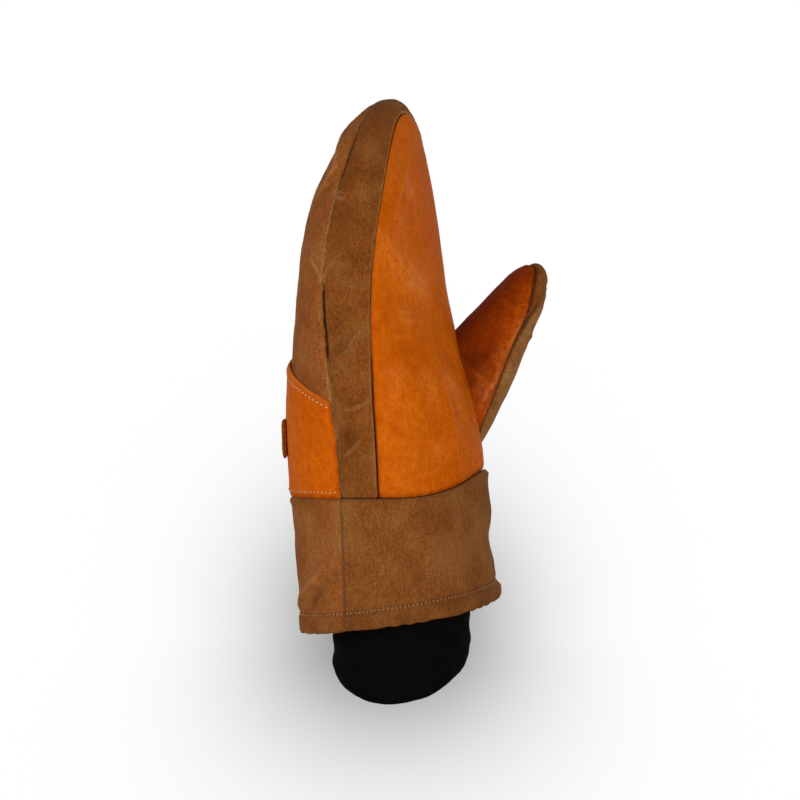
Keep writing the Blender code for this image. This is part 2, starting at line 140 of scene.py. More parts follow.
def column(form, name, along):
    # one column of the rows at these places, on a smooth curve
    keys = np.array(form["rows"]["height"])
    values = np.array(form["rows"][name]) * form["sizes"][name]
    slopes = np.gradient(values, keys)
    slopes[1:-1] = (values[2:] - values[:-2]) / (keys[2:] - keys[:-2])
    at = np.clip(np.asarray(along) / form["length"], keys[0], keys[-1])
    i = np.clip(np.searchsorted(keys, at, side="right") - 1, 0, len(keys) - 2)
    span = keys[i + 1] - keys[i]
    t = (at - keys[i]) / span
    low = values[i] * (1 + 2 * t) * (1 - t) ** 2 + slopes[i] * span * t * (1 - t) ** 2
    return low + values[i + 1] * t * t * (3 - 2 * t) + slopes[i + 1] * span * t * t * (t - 1)


def faceDepth(form, side, along):
    return np.where(np.asarray(side) > 0, column(form, "back", along), column(form, "palm", along))


def twisted(form, across, depth, along, way):
    twist = way * column(form, "twist", along)
    return across * np.cos(twist) - depth * np.sin(twist), across * np.sin(twist) + depth * np.cos(twist)


def placeIn(form, across, depth, along):
    across, depth = twisted(form, across, depth + column(form, "bow", along), along, 1)
    return form["base"] + np.stack(np.broadcast_arrays(across, depth, along), -1) @ form["axes"]


def localIn(form, points):
    local = (points - form["base"]) @ form["axes"].T
    across, depth = twisted(form, local[:, 0], local[:, 1], local[:, 2], -1)
    return across, depth - column(form, "bow", local[:, 2]), local[:, 2]


def levelOf(form, points):
    across, depth, along = localIn(form, points)
    end = np.maximum(0, along - form["crown"]) / form["roundEnd"]
    share = np.hypot(across / column(form, "width", along), end)
    return share**roundness + np.abs(depth / faceDepth(form, np.sign(depth), along)) ** roundness - 1


def slopeOf(form, points):
    step = np.eye(3) * 1e-5
    return np.stack([levelOf(form, points + s) - levelOf(form, points - s) for s in step], 1) / 2e-5


def normalsOf(form, points):
    slope = slopeOf(form, points)
    return slope / np.linalg.norm(slope, axis=1, keepdims=True)


def outside(form, points):
    # about how far outside the form the points are, below 0 inside it
    return levelOf(form, points) / np.linalg.norm(slopeOf(form, points), axis=1)


def edgeShare(form, side, depth, along):
    share = np.minimum(1, np.abs(depth) / faceDepth(form, side, along))
    return (1 - share**roundness) ** (1 / roundness)


def faceTop(form, side, margin):
    along = form["length"]
    for _ in range(12):
        along = form["crown"] + form["roundEnd"] * float(edgeShare(form, side, margin(along, 0.0), along))
    return along


def onFace(form, side, share, along, margin):
    edge = edgeShare(form, side, margin(along, share), along)
    end = np.maximum(0, along - form["crown"]) / form["roundEnd"]
    width = column(form, "width", along)
    across = share * width * np.sqrt(np.maximum(0, edge**2 - end**2))
    out = np.hypot(across / width, end)
    depth = faceDepth(form, side, along) * np.maximum(0, 1 - out**roundness) ** (1 / roundness)
    return placeIn(form, across, side * depth, along)


def onRim(form, turn, along, depth):
    at = np.asarray(along, float)
    for _ in range(5):
        edge = edgeShare(form, np.sign(depth), depth, at)
        at = along + edge * form["roundEnd"] * np.sin(turn)
    return placeIn(form, -column(form, "width", at) * edge * np.cos(turn), depth, at), at


def onRing(form, angle, along):
    def power(value):
        return np.copysign(np.abs(value) ** (2 / roundness), value)

    side = np.sign(np.sin(angle))
    across = column(form, "width", along) * power(np.cos(angle))
    return placeIn(form, across, faceDepth(form, side, along) * power(np.sin(angle)), along)


def settle(form, points):
    # moves points onto the form's surface
    for _ in range(4):
        slope = slopeOf(form, points)
        points = points - (levelOf(form, points) / (slope**2).sum(1))[:, None] * slope
    return points


def seenPoint(px, py, form=handForm):
    # the point of a form that shows at this place in the picture
    half = cameraView["sensor"] / 2 / cameraView["lens"]
    x, y = (px / cameraView["picture"] - 0.5) * 2 * half, (0.5 - py / cameraView["picture"]) * 2 * half
    ray = camera.rotation_euler.to_matrix() @ Vector((x, y, -1))
    ray, start = np.array(ray), np.array(camera.location)
    before, behind, steps = cameraView["search"]
    reach = np.linspace(cameraView["distance"] - before, cameraView["distance"] + behind, steps)
    level = levelOf(form, start + reach[:, None] * ray)
    inside = np.nonzero(level < 0)[0]
    first = inside[0] if len(inside) else int(np.argmin(level))
    return start + reach[first] * ray


# edges of the panels
seamPlan = {
    "gap": 0.0003,
    "wristHeight": 0.0935,
    "wristRise": 0.010,
    "wristDrop": 0.0025,
    "wristRiseAngle": math.radians(290),
    "hemHeight": 0.0320,
    "hemSlope": 0.16,
    "hemAngle": math.radians(290),
    # heights where the back seam stands open on the little-finger side, and how open
    "slits": ((0.242, 0.274, 0.60), (0.156, 0.200, 0.95)),
    "slitOpen": 0.0004,
    "slitFade": 0.008,
    "tipShift": 0.0045,  # how far the palm reaches round the thumb side, below the fingertips
    "tipShiftHeights": (0.190, 0.220, 0.250, 0.280),
    "faceSweep": math.radians(72),
    "rowPower": 1.7,  # packs rows towards the fingertips
    "thumbHole": (0.0001, 0.0004),  # how far off the thumb the hand's panels end, and their drop there
}
handMiddle = placeIn(handForm, 0.0, 0.0, 0.0)


def softStep(value):
    t = np.clip(value, 0, 1)
    return t * t * (3 - 2 * t)


def wristLine(points):
    angle = np.arctan2(points[:, 1] - handMiddle[1], points[:, 0] - handMiddle[0])
    facing = np.cos(angle - seamPlan["wristRiseAngle"])
    change = np.where(facing > 0, seamPlan["wristRise"], -seamPlan["wristDrop"])
    return seamPlan["wristHeight"] + change * facing**2


def lowEdge(foot):
    # how far from the forms' foot the panels start, above the wrist seam
    return wristLine(foot) - seamPlan["wristHeight"] + seamPlan["gap"] / 2


def hemLine(points):
    angle = seamPlan["hemAngle"]
    lean = points[:, 0] * math.cos(angle) + points[:, 1] * math.sin(angle)
    return seamPlan["hemHeight"] + seamPlan["hemSlope"] * lean


def slitAt(height):
    total = 0.0
    for low, high, share in seamPlan["slits"]:
        fade = seamPlan["slitFade"]
        total = total + share * softStep((height - low) / fade) * softStep((high - height) / fade)
    return total


def spread(across):
    # columns packed towards the edges, where the surface turns
    sweep = seamPlan["faceSweep"]
    return np.sin((2 * across - 1) * sweep) / math.sin(sweep)


# folds and dents, drawn where the picture shows them
def fold(reach, depth, *places, crease=0.7, rubAndHighlight=1.0, dark=0.0):
    # millimetres: how wide it reaches, how deep it goes (below 0 is a ridge), its light line, and how far its
    # painted shade reaches
    return {"reach": reach / 1000, "depth": depth / 1000, "places": places, "crease": crease / 1000,
            "rubAndHighlight": rubAndHighlight, "dark": dark / 1000}


foldLines = [  # along places in the picture
    # its light line is both wax pulled pale in the crease and a painted highlight
    fold(2.0, -1.9, (357, 118), (346, 128), (341, 143), (337, 166), (328, 182), (312, 212), crease=0.8,
         rubAndHighlight=1.5),
    fold(3.0, 1.0, (362, 122), (352, 140), (346, 160), (341, 186)),
    fold(4.2, 1.8, (338, 126), (330, 152), (320, 184), dark=6.0),
    fold(1.5, -0.7, (311, 258), (317, 268), (322, 280)),
    fold(1.3, -0.5, (333, 262), (327, 270), (323, 280)),
    fold(1.1, -0.5, (316, 281), (320, 280), (326, 282)),
    fold(0.9, -0.4, (333, 190), (338, 192), (344, 193), crease=0.6),
    fold(0.9, -0.4, (334, 196), (339, 198), (345, 199), crease=0.6),
    fold(2.0, -1.5, (334, 358), (343, 352), (350, 343), (362, 329), crease=0.6, rubAndHighlight=0.7),
    fold(3.8, 4.0, (330, 336), (335, 346), (342, 345), (350, 334), dark=7.8),
    fold(1.8, -0.8, (341, 410), (352, 409), (362, 405), (372, 399), rubAndHighlight=0.7),
    fold(3.0, 0.8, (340, 402), (352, 400), (362, 395)),
    fold(2.2, -1.2, (341, 458), (348, 454), (357, 445), (362, 437), rubAndHighlight=0.6),
    fold(4.0, 2.4, (340, 424), (345, 436), (347, 450), dark=4.4),
    fold(1.4, 1.4, (467, 406), (471, 416), (478, 427), dark=1.2),
    fold(2.0, -0.8, (472, 404), (478, 414), (483, 424)),
    fold(3.0, 0.9, (347, 486), (356, 476), (370, 470)),
    fold(4.0, 0.7, (350, 232), (360, 226), (373, 222)),
    fold(3.0, 0.7, (344, 196), (354, 205), (366, 208)),
    fold(2.4, -2.2, (300, 608), (309, 590), (322, 572), crease=0.8, rubAndHighlight=1.1),
    fold(3.4, 2.2, (309, 612), (318, 595), (331, 577), dark=6.2),
    fold(4.0, 1.2, (354, 516), (362, 523), (370, 520)),
    fold(4.5, 0.9, (350, 596), (362, 600), (372, 598)),
    fold(4.2, 1.0, (452, 505), (470, 512), (486, 516)),
    fold(4.0, 1.6, (488, 538), (478, 537), (466, 534)),
    fold(3.5, -0.9, (470, 530), (476, 550), (480, 575), rubAndHighlight=0.25),
    fold(5.5, -0.7, (385, 236), (394, 250), (404, 268)),
    fold(3.2, 0.6, (384, 300), (402, 303), (420, 310)),
    fold(3.6, -0.6, (392, 290), (410, 284), (424, 290)),
    fold(3.8, -0.6, (390, 316), (408, 322), (432, 322)),
    fold(5.0, 0.6, (378, 338), (400, 343), (424, 352)),
    fold(5.0, -0.9, (440, 368), (448, 400), (456, 436), (459, 462)),
    fold(5.5, 0.8, (428, 380), (436, 410), (442, 440)),
    fold(4.5, 0.9, (404, 122), (400, 150), (399, 180)),
    fold(3.0, -0.5, (409, 160), (401, 190), (395, 214)),
]
thumbFolds = [
    fold(3.4, 6.0, (454, 347), (468, 355), (480, 362), (493, 375), dark=6.2),
    fold(3.8, 2.4, (476, 348), (484, 355), (491, 366), dark=6.6),
    fold(2.4, -2.2, (458, 361), (470, 369), (482, 381), rubAndHighlight=0.2),
    fold(3.0, 5.0, (463, 372), (467, 381), (471, 392), dark=5.6),
    # its light line is a painted highlight along the thumb's ridge
    fold(1.8, -1.6, (499, 366), (497, 378), (489, 388), (481, 404), crease=0.7, rubAndHighlight=1.8),
    fold(2.0, -1.0, (524, 316), (513, 338), (503, 358), crease=1.2, rubAndHighlight=0.9),
    fold(8.0, 1.2, (508, 306), (496, 326), (484, 340)),
    fold(1.4, 1.5, (550, 286), (545, 297), (536, 309), (526, 321), dark=1.8),
    fold(1.5, 0.9, (531, 320), (532, 328), (534, 337), dark=1.8),
    fold(2.0, -1.2, (528, 330), (531, 335), (533, 338), crease=0.4),
    fold(2.6, 1.0, (521, 350), (524, 352)),
    fold(2.6, 0.8, (500, 402), (503, 404)),
]
hiddenFolds = [  # the sides that the picture hides, in shares of the hand's sizes from the wrist
    fold(4.0, 1.2, (0.99, 0.16, 0.42), (0.96, -0.1, 0.47)),
    fold(4.0, 0.9, (0.99, 0.2, 0.72), (0.97, 0.02, 0.66)),
    fold(5.0, 1.4, (0.7, 0.72, 0.42), (0.98, 0.3, 0.36)),
    fold(5.0, 1.1, (0.55, 0.8, 0.62), (0.9, 0.4, 0.56)),
    fold(8.0, 1.0, (-0.35, 0.88, 0.55), (0.3, 0.88, 0.58)),
    fold(7.0, -0.8, (-0.4, 0.84, 0.68), (0.25, 0.86, 0.66)),
    fold(6.0, 1.0, (0.1, 0.86, 0.74), (0.5, 0.7, 0.86)),
    fold(9.0, 1.2, (0.2, -0.6, 0.16), (0.05, -0.5, 0.34), (-0.2, -0.45, 0.5)),
    fold(6.0, 1.2, (-0.3, 0.95, -0.2), (-0.15, 0.92, -0.05)),
    fold(6.0, 1.3, (0.6, 0.74, -0.24), (0.72, 0.62, -0.06)),
    fold(6.0, 1.2, (0.9, -0.3, -0.22), (0.92, -0.22, -0.05)),
    fold(8.0, 2.6, (0.1, -0.86, -0.13), (0.6, -0.74, -0.12)),
]


def drawFolds():
    lines = []
    for form, plans in ((handForm, foldLines), (thumbForm, thumbFolds)):
        lines += [(np.array([seenPoint(*place, form) for place in plan["places"]]), plan) for plan in plans]
    handSize = np.array((handForm["sizes"]["width"], handForm["sizes"]["back"], handForm["length"]))
    for plan in hiddenFolds:
        lines.append((settle(handForm, np.array(plan["places"]) * handSize + handForm["base"]), plan))
    return lines


drawnFolds = drawFolds()
print("folds drawn:", len(drawnFolds))

wallPlan = {  # how the cloth lies, in metres
    "far": 0.05,  # stands for no seam or fold near
    "foldEnd": (0.04, 0.6),  # how a fold runs out: share of it left at its ends, and how round it is
    "shade": (0.0016, 0.0004, 0.003),  # a deep fold's painted shade: its slope, its start and how it ends
    "flatter": (0.150, 0.04),  # height where some seams start to lie flatter, and over how much
    "lessDirtAndShadeHigh": (0.185, 0.05, 0.0022),  # the same for less dirt and painted shade in them, and how much less
    "pucker": (0.0065, 0.005, 0.0015),  # usual spacing and reach, and how near the seam they start
    "ridgeAway": 2.2,  # widths from a seam to the ridge beside it
    "slitReach": 0.0011,
    # how far the painted shade reaches where a seam stands open, and the thread line where it is closed
    "slitMark": 0.0006,
    "threadMark": 0.0005,
    "rubbedReach": 0.0007,
    "calm": (0.35, 0.006),  # share of the wrinkles left at a seam, and where they are whole again
    "cutFade": 0.004,
    "cutReach": 0.0016,
    # where the thumb meets the hand, dirt and painted shade are drawn as if this far from a seam
    "cutDirtAndShade": 0.0009,
}


def hump(away, reach):
    return np.exp(-((away / reach) ** 2))


def foldLift(points):
    # how far the folds lift the surface, where they are rubbed, and where painted shade darkens them
    lift, crease, shade = np.zeros(len(points)), np.zeros(len(points)), np.full(len(points), wallPlan["far"])
    slope, start, ending = wallPlan["shade"]
    left, roundFade = wallPlan["foldEnd"]
    for line, plan in drawnFolds:
        near, run, total = np.full(len(points), 1.0), np.zeros(len(points)), 0.0
        for a, b in zip(line[:-1], line[1:]):
            span = np.linalg.norm(b - a)
            t = np.clip((points - a) @ (b - a) / span**2, 0, 1)
            away = np.linalg.norm(points - a - t[:, None] * (b - a), axis=1)
            run = np.where(away < near, total + t * span, run)
            near = np.minimum(near, away)
            total += span
        fade = np.sin(np.pi * np.clip(run / total, left, 1 - left)) ** roundFade
        lift -= plan["depth"] * (hump(near, plan["reach"]) * fade)
        if plan["depth"] < 0:
            crease = np.maximum(crease, hump(near, plan["crease"]) * (plan["rubAndHighlight"] * fade))
        if plan["dark"]:  # painted shade in the fold, read as a distance from a seam
            shade = np.minimum(shade, near / plan["dark"] * slope + start + ending * (1 - fade))
    return lift, crease, shade


def noiseAt(points, size, seed, octaves=2):
    offset = Vector((seed * 7.3, seed * 3.1, seed * 5.7))
    return np.array([noise.fractal(Vector(p) / size + offset, 1.0, 2.0, octaves) for p in points])


# the wall maker
builtTrees = {}  # each finished piece's surface, for the stitches that lie on it
# places in the picture where the leather is painted lighter as sheen and its coat made glossier, and how far
# that reaches
glossAndPaintedSheenSpots = [
    (396, 262, 0.009), (410, 274, 0.010), (424, 290, 0.010), (404, 318, 0.008), (384, 240, 0.006),
    (430, 385, 0.008), (440, 452, 0.006), (398, 376, 0.006), (411, 190, 0.006), (400, 222, 0.007),
    (454, 384, 0.010),
]
thumbGlossAndPaintedSheen = [
    (498, 398, 0.009), (486, 414, 0.010), (509, 372, 0.006),
    (531, 292, 0.005), (525, 309, 0.006), (518, 327, 0.006), (511, 345, 0.006), (503, 362, 0.006),
    (484, 379, 0.005),
]


def glossAndPaintedSheenAt(points, look):
    total = np.zeros(len(points))
    if look["slot"] == "leather":
        for form, spots in ((handForm, glossAndPaintedSheenSpots), (thumbForm, thumbGlossAndPaintedSheen)):
            for px, py, reach in spots:
                away = np.linalg.norm(points - seenPoint(px, py, form), axis=1)
                total += hump(away, reach)
    return np.minimum(total, 1)


def edgePath(surface, edge, count=1200):
    steps = np.linspace(0, 1, count)
    sides = {"left": (0 * steps, steps), "right": (0 * steps + 1, steps)}
    ends = {"low": (steps, 0 * steps), "high": (steps, 0 * steps + 1)}
    return surface(*{**sides, **ends}[edge])[0]


def runsOf(path):
    return np.concatenate(([0], np.cumsum(np.linalg.norm(np.diff(path, axis=0), axis=1))))


def halfStrip(form, along):
    return column(form, "strip", along) / 2 - seamPlan["gap"] / 2


def nearPath(points, path):
    # distance to a path, and how far along it the nearest place is
    runs = runsOf(path)
    tree = kdtree.KDTree(len(path))
    for number, place in enumerate(path):
        tree.insert(place, number)
    tree.balance()
    found = [tree.find(p) for p in points]
    return np.array([f[2] for f in found]), runs[[f[1] for f in found]]


def bothSides(seam, **others):
    return {"left": seam, "right": seam, **others}


def seamLift(points, path, seam):
    # a seam pulls the cloth in along its edge, with small puckers across it
    reach, run = nearPath(points, path)
    start, span = wallPlan["flatter"]
    flatter = 1 - seam.get("flatter", 0) * softStep((points[:, 2] - start) / span)
    lift = -seam["drop"] * flatter * hump(reach, seam["width"])
    lift += seam.get("ridge", 0) * hump(reach - wallPlan["ridgeAway"] * seam["width"], seam["width"])
    openHere = seam.get("slit", 0) * slitAt(points[:, 2]) * (points[:, 0] < 0)
    lift -= openHere * hump(reach, wallPlan["slitReach"])
    wander = 1.6 * np.sin(run * 61) + 1.1 * np.sin(run * 173 + 1)  # so that no pucker is like the next
    spacing, puckerReach, puckerStart = wallPlan["pucker"]
    wave = np.sin(run * 2 * np.pi / seam.get("spacing", spacing) + wander)
    grow = np.minimum(1, reach / puckerStart) * np.exp(-reach / seam.get("puckerReach", puckerReach))
    return lift + seam.get("pucker", 0) * wave * grow, reach


def seamWearAndShade(base, reach, seam):
    # a seam's dirt and painted shade, its rubbed edge, and its mark: painted shade above 0 where it stands
    # open, below 0 along its thread
    start, span, less = wallPlan["lessDirtAndShadeHigh"]
    high = softStep((base[:, 2] - start) / span)
    dirtAndShade = reach + seam.get("lessDirtAndShade", 0.0) + less * seam.get("flatter", 0) * high
    rubbed = seam.get("rubbedEdge", 0.0) * (0.4 + 0.6 * high) * hump(reach, wallPlan["rubbedReach"])
    if "slit" not in seam:
        return dirtAndShade, rubbed, 0.0
    opened = slitAt(base[:, 2]) * (base[:, 0] < 0)
    thread = (1 - opened) * hump(reach, wallPlan["threadMark"])
    return dirtAndShade, rubbed, opened * hump(reach, wallPlan["slitMark"]) - thread


def makeWall(name, grid, surface, seams, look, cuts=(), extra=None):
    # a wall from a flat grid: surface gives points, normals and thickness for across and up, 0 to 1
    bm = bmesh.new()
    columns, rows = grid
    bmesh.ops.create_grid(bm, x_segments=columns, y_segments=rows, size=1.0)
    flat = np.array([vert.co for vert in bm.verts])
    across, up = (flat[:, 0] + 1) / 2, (flat[:, 1] + 1) / 2
    base, normals, thickness = surface(across, up)
    lift, crease, dirtAndShadeReach = foldLift(base - look.get("ease", 0.0) * normals)
    # the mark starts as painted sheen on leather; seams add painted shade where they stand open, and their
    # thread line
    seamReach, mark = np.full(len(base), wallPlan["far"]), glossAndPaintedSheenAt(base, look)
    for edge, seam in seams.items():
        more, reach = seamLift(base, edgePath(surface, edge), seam)
        dirtAndShade, rubbed, seamMark = seamWearAndShade(base, reach, seam)
        lift += more
        mark += seamMark
        seamReach, dirtAndShadeReach = np.minimum(seamReach, reach), np.minimum(dirtAndShadeReach, dirtAndShade)
        crease = np.maximum(crease, rubbed)
    if "stain" in look:
        dirtAndShadeReach = np.minimum(dirtAndShadeReach, look["stain"](base))
    least, whole = wallPlan["calm"]
    calm = least + (1 - least) * softStep(seamReach / whole)
    lift += look["wrinkle"] * noiseAt(base, look["wrinkleSize"], 1, 3) * calm
    lift += look["ripple"] * noiseAt(base, look["rippleSize"], 4) * calm
    if extra:
        lift += extra(base, across, up)
    away = None
    for form, offset, drop in cuts:
        away = outside(form, base) - offset
        lift *= softStep((away + offset) / wallPlan["cutFade"])  # folds run out where two forms meet
        lift -= drop * hump(np.maximum(0, away), wallPlan["cutReach"])
        # dirt and painted shade along the joint where the two forms meet
        dirtAndShadeReach = np.minimum(dirtAndShadeReach, np.abs(away) + wallPlan["cutDirtAndShade"])
    top = base + lift[:, None] * normals
    low = base - np.asarray(thickness).reshape(-1, 1) * normals
    cloth, wearShadeSheen, inward = (bm.verts.layers.float_vector.new(label) for label in ("cloth", "wearShadeSheen", "inward"))
    places = clothPlaces(base, flat, columns, rows)
    for i, vert in enumerate(bm.verts):
        vert.co = top[i]
        vert[cloth] = places[i]
        vert[wearShadeSheen] = (dirtAndShadeReach[i], crease[i], mark[i])
        vert[inward] = low[i] - top[i]
    if away is not None:
        cutAway(bm, away)
    bmesh.ops.remove_doubles(bm, verts=bm.verts, dist=1e-6)
    bmesh.ops.dissolve_degenerate(bm, edges=bm.edges, dist=1e-7)
    copied = bmesh.ops.extrude_face_region(bm, geom=list(bm.faces))
    for vert in (v for v in copied["geom"] if isinstance(v, bmesh.types.BMVert)):
        vert.co += vert[inward]
    bm.verts.layers.float_vector.remove(bm.verts.layers.float_vector["inward"])
    bmesh.ops.recalc_face_normals(bm, faces=bm.faces)
    return addPiece(name, bm, look)


def clothPlaces(base, flat, columns, rows):
    # how far each point is across and along the cloth, in metres from its middle column's foot
    order = np.zeros((rows + 1, columns + 1), int)
    inColumn, inRow = (np.rint((flat[:, k] + 1) / 2 * n).astype(int) for k, n in ((0, columns), (1, rows)))
    order[inRow, inColumn] = np.arange(len(flat))
    sheet = base[order]
    acrossRun = np.cumsum(np.linalg.norm(np.diff(sheet, axis=1, prepend=sheet[:, :1]), axis=2), axis=1)
    upRun = np.cumsum(np.linalg.norm(np.diff(sheet, axis=0, prepend=sheet[:1]), axis=2), axis=0)
    places = np.zeros((len(flat), 3))
    places[order, 0] = acrossRun - acrossRun[:, columns // 2][:, None]
    places[order, 1] = upRun[:, columns // 2][:, None]
    return places


def cutAway(bm, away):
    # splits the grid where another form comes through, and drops what is inside it
    bm.verts.index_update()
    level = bm.verts.layers.float.new("level")
    for vert in bm.verts:
        vert[level] = away[vert.index]
    crossed = [e for e in bm.edges if (e.verts[0][level] < 0) != (e.verts[1][level] < 0)]
    shares = {e: e.verts[0][level] / (e.verts[0][level] - e.verts[1][level]) for e in crossed}
    bmesh.ops.subdivide_edges(bm, edges=crossed, edge_percents=shares, cuts=1)
    gone = [f for f in bm.faces if sum(v[level] for v in f.verts) < 0]
    bmesh.ops.delete(bm, geom=gone, context="FACES")
    bm.verts.layers.float.remove(bm.verts.layers.float["level"])


def addPiece(name, bm, look, smooth=70):
    mesh = bpy.data.meshes.new(name)
    bm.to_mesh(mesh)
    bm.free()
    mesh.shade_smooth()
    mesh.set_sharp_from_angle(angle=math.radians(smooth))
    mesh.materials.append(look["material"])
    piece = addObject(name, mesh)
    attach(piece, "root")
    if "node" in look:
        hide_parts(look["node"])
    places, faces = [v.co for v in mesh.vertices], [p.vertices for p in mesh.polygons]
    builtTrees[name] = bvhtree.BVHTree.FromPolygons(places, faces)
    print("made", name, "with", len(mesh.polygons), "faces")
    return piece


# materials
def put(tree, kind, inputs=(), **settings):
    # adds a node, with values or other nodes' outputs on its inputs
    made = tree.nodes.new("ShaderNode" + kind)
    for key, value in settings.items():
        setattr(made, key, value)
    for key, value in dict(inputs).items():
        if isinstance(value, bpy.types.NodeSocket):
            tree.links.new(value, made.inputs[key])
        else:
            made.inputs[key].default_value = value
    return made


def calc(tree, operation, first, second=0.0, third=0.0):
    return put(tree, "Math", {0: first, 1: second, 2: third}, operation=operation).outputs[0]


def times(tree, first, second):
    return calc(tree, "MULTIPLY", first, second)


def vectorCalc(tree, operation, first, second):
    return put(tree, "VectorMath", {0: first, 1: second}, operation=operation).outputs[0]


def ramp(tree, value, low, high, outLow=0.0, outHigh=1.0):
    return put(tree, "MapRange", {0: value, 1: low, 2: high, 3: outLow, 4: outHigh}).outputs[0]


def noiseOf(tree, place, scale, detail=2.0, roughness=0.5):
    inputs = {"Vector": place, "Scale": scale, "Detail": detail, "Roughness": roughness}
    return put(tree, "TexNoise", inputs).outputs


def objectPlace(tree):
    return put(tree, "TexCoord").outputs["Object"]


def layered(tree, colour, *coats):
    # colours over one another, each where its mask is high
    for share, over in coats:
        colour = put(tree, "Mix", {0: share, 6: colour, 7: over}, data_type="RGBA").outputs[2]
    return colour


def addTones(tree, total, layers):
    # moves a tone by how far each layer is from its middle
    for layer, share in layers:
        total = calc(tree, "MULTIPLY_ADD", calc(tree, "SUBTRACT", layer, 0.5), share, total)
    return total


def connect(tree, inputs, values):
    for label, value in values.items():
        tree.links.new(value, inputs[label])


def startGroup(name, inputs, outputs):
    group = bpy.data.node_groups.new(name, "ShaderNodeTree")
    for label, value in inputs.items():
        socket = group.interface.new_socket(label, in_out="INPUT", socket_type="NodeSocketFloat")
        socket.default_value = value
    for label in outputs:
        group.interface.new_socket(label, in_out="OUTPUT", socket_type="NodeSocketFloat")
    return group, group.nodes.new("NodeGroupInput").outputs, group.nodes.new("NodeGroupOutput").inputs


def makeMottle():
    # cloudy tone from 0 to 1 in two sizes, and fine specks
    group, given, result = startGroup("mottle", {"Scale": 60.0, "Contrast": 1.0}, ["Tone", "Cloud", "Speck"])
    place = objectPlace(group)
    big = noiseOf(group, place, given["Scale"], 3.0, 0.55)
    middle = noiseOf(group, place, times(group, given["Scale"], 9.0), 3.0)
    fine = noiseOf(group, place, 1100.0, 2.0, 0.7)
    stretch = times(group, given["Contrast"], 2.4)
    tones = {"Speck": ramp(group, fine[0], 0.32, 0.68)}
    for noisy, label in ((middle, "Tone"), (big, "Cloud")):
        value = addTones(group, 0.5, [(noisy[0], stretch)])
        tones[label] = calc(group, "MINIMUM", calc(group, "MAXIMUM", value, 0.0), 1.0)
    connect(group, result, tones)
    return group


def makeWeave():
    # threads crossing over and under, from the piece's own cloth places in metres
    group, given, result = startGroup("weave", {"Threads": 1500.0}, ["Height", "Slub"])
    cloth = put(group, "Attribute", attribute_name="cloth").outputs["Vector"]
    moved = vectorCalc(group, "MULTIPLY", noiseOf(group, cloth, 260.0)["Color"], (0.0009, 0.0009, 0.0))
    place = vectorCalc(group, "ADD", cloth, moved)
    parts = put(group, "SeparateXYZ", {0: place}).outputs
    turns = times(group, given["Threads"], math.pi)
    warp, weft = (calc(group, "SINE", times(group, parts[way], turns)) for way in (0, 1))
    stretched = vectorCalc(group, "MULTIPLY", place, (900.0, 160.0, 1.0))
    slub = noiseOf(group, stretched, 1.0, 3.0, 0.65)[0]
    connect(group, result, {"Height": times(group, warp, weft), "Slub": slub})
    return group


def makeGrain():
    # leather's pores, its fine wrinkles, which come and go in patches, and its long streaks
    group, given, result = startGroup("grain", {"Scale": 900.0, "Wrinkles": 1.0}, ["Height", "Streak"])
    place = objectPlace(group)
    pores = put(group, "TexVoronoi", {"Vector": place, "Scale": given["Scale"]}, feature="SMOOTH_F1")
    shift = vectorCalc(group, "MULTIPLY", noiseOf(group, place, 120.0)["Color"], (0.006, 0.006, 0.006))
    bent = vectorCalc(group, "ADD", place, shift)
    lines = put(group, "TexVoronoi", {"Vector": bent, "Scale": 420.0}, feature="DISTANCE_TO_EDGE")
    patch = ramp(group, noiseOf(group, place, 34.0)[0], 0.48, 0.66)
    sunk = times(group, calc(group, "SUBTRACT", ramp(group, lines.outputs[0], 0.0, 0.14), 1.0), patch)
    height = calc(group, "MULTIPLY_ADD", sunk, given["Wrinkles"], times(group, pores.outputs[0], 0.35))
    drawn = vectorCalc(group, "MULTIPLY", place, (420.0, 420.0, 110.0))
    connect(group, result, {"Height": height, "Streak": noiseOf(group, drawn, 1.0, 3.0, 0.6)[0]})
    return group


def makeEdgeWearShadeSheen():
    # dark dirt and painted shade in the seams, painted shade in deep folds and where the thumb meets the
    # hand, a rubbed line along sharp folds that is in places a painted highlight, and the mark that a piece
    # carries: painted sheen on leather, painted shade where a seam stands open, and its thread line
    group, given, result = startGroup("edgeWearShadeSheen", {"Reach": 0.0016}, ["DirtAndShade", "RubAndHighlight", "Mark"])
    worn = put(group, "Attribute", attribute_name="wearShadeSheen").outputs["Vector"]
    wearShadeSheen = put(group, "SeparateXYZ", {0: worn}).outputs
    place = objectPlace(group)
    patchy, ragged = noiseOf(group, place, 260.0, 3.0)[0], noiseOf(group, place, 620.0)[0]
    ratio = calc(group, "DIVIDE", wearShadeSheen[0], given["Reach"])
    dirtAndShade = calc(group, "POWER", 2.0, times(group, times(group, ratio, ratio), -1.4))
    connect(group, result, {
        "DirtAndShade": times(group, dirtAndShade, ramp(group, patchy, 0.3, 0.6, 0.5, 1.0)),
        "RubAndHighlight": times(group, wearShadeSheen[1], ramp(group, patchy, 0.32, 0.56, 0.25, 1.0)),
        "Mark": times(group, wearShadeSheen[2], ramp(group, ragged, 0.36, 0.56, 0.35, 1.0)),
    })
    return group


groups = {"mottle": makeMottle(), "weave": makeWeave(), "grain": makeGrain(), "edgeWearShadeSheen": makeEdgeWearShadeSheen()}


def useGroup(tree, name, **inputs):
    made = tree.nodes.new("ShaderNodeGroup")
    made.node_tree = groups[name]
    for label, value in inputs.items():
        made.inputs[label].default_value = value
    return made.outputs


def startMaterial(name, roughness, specular=0.5, sheen=0.0):
    material = bpy.data.materials.new(name)
    material.use_nodes = True
    shader = material.node_tree.nodes["Principled BSDF"]
    shader.inputs["Roughness"].default_value = roughness
    shader.inputs["Specular IOR Level"].default_value = specular
    shader.inputs["Sheen Weight"].default_value = sheen
    return material, material.node_tree, shader


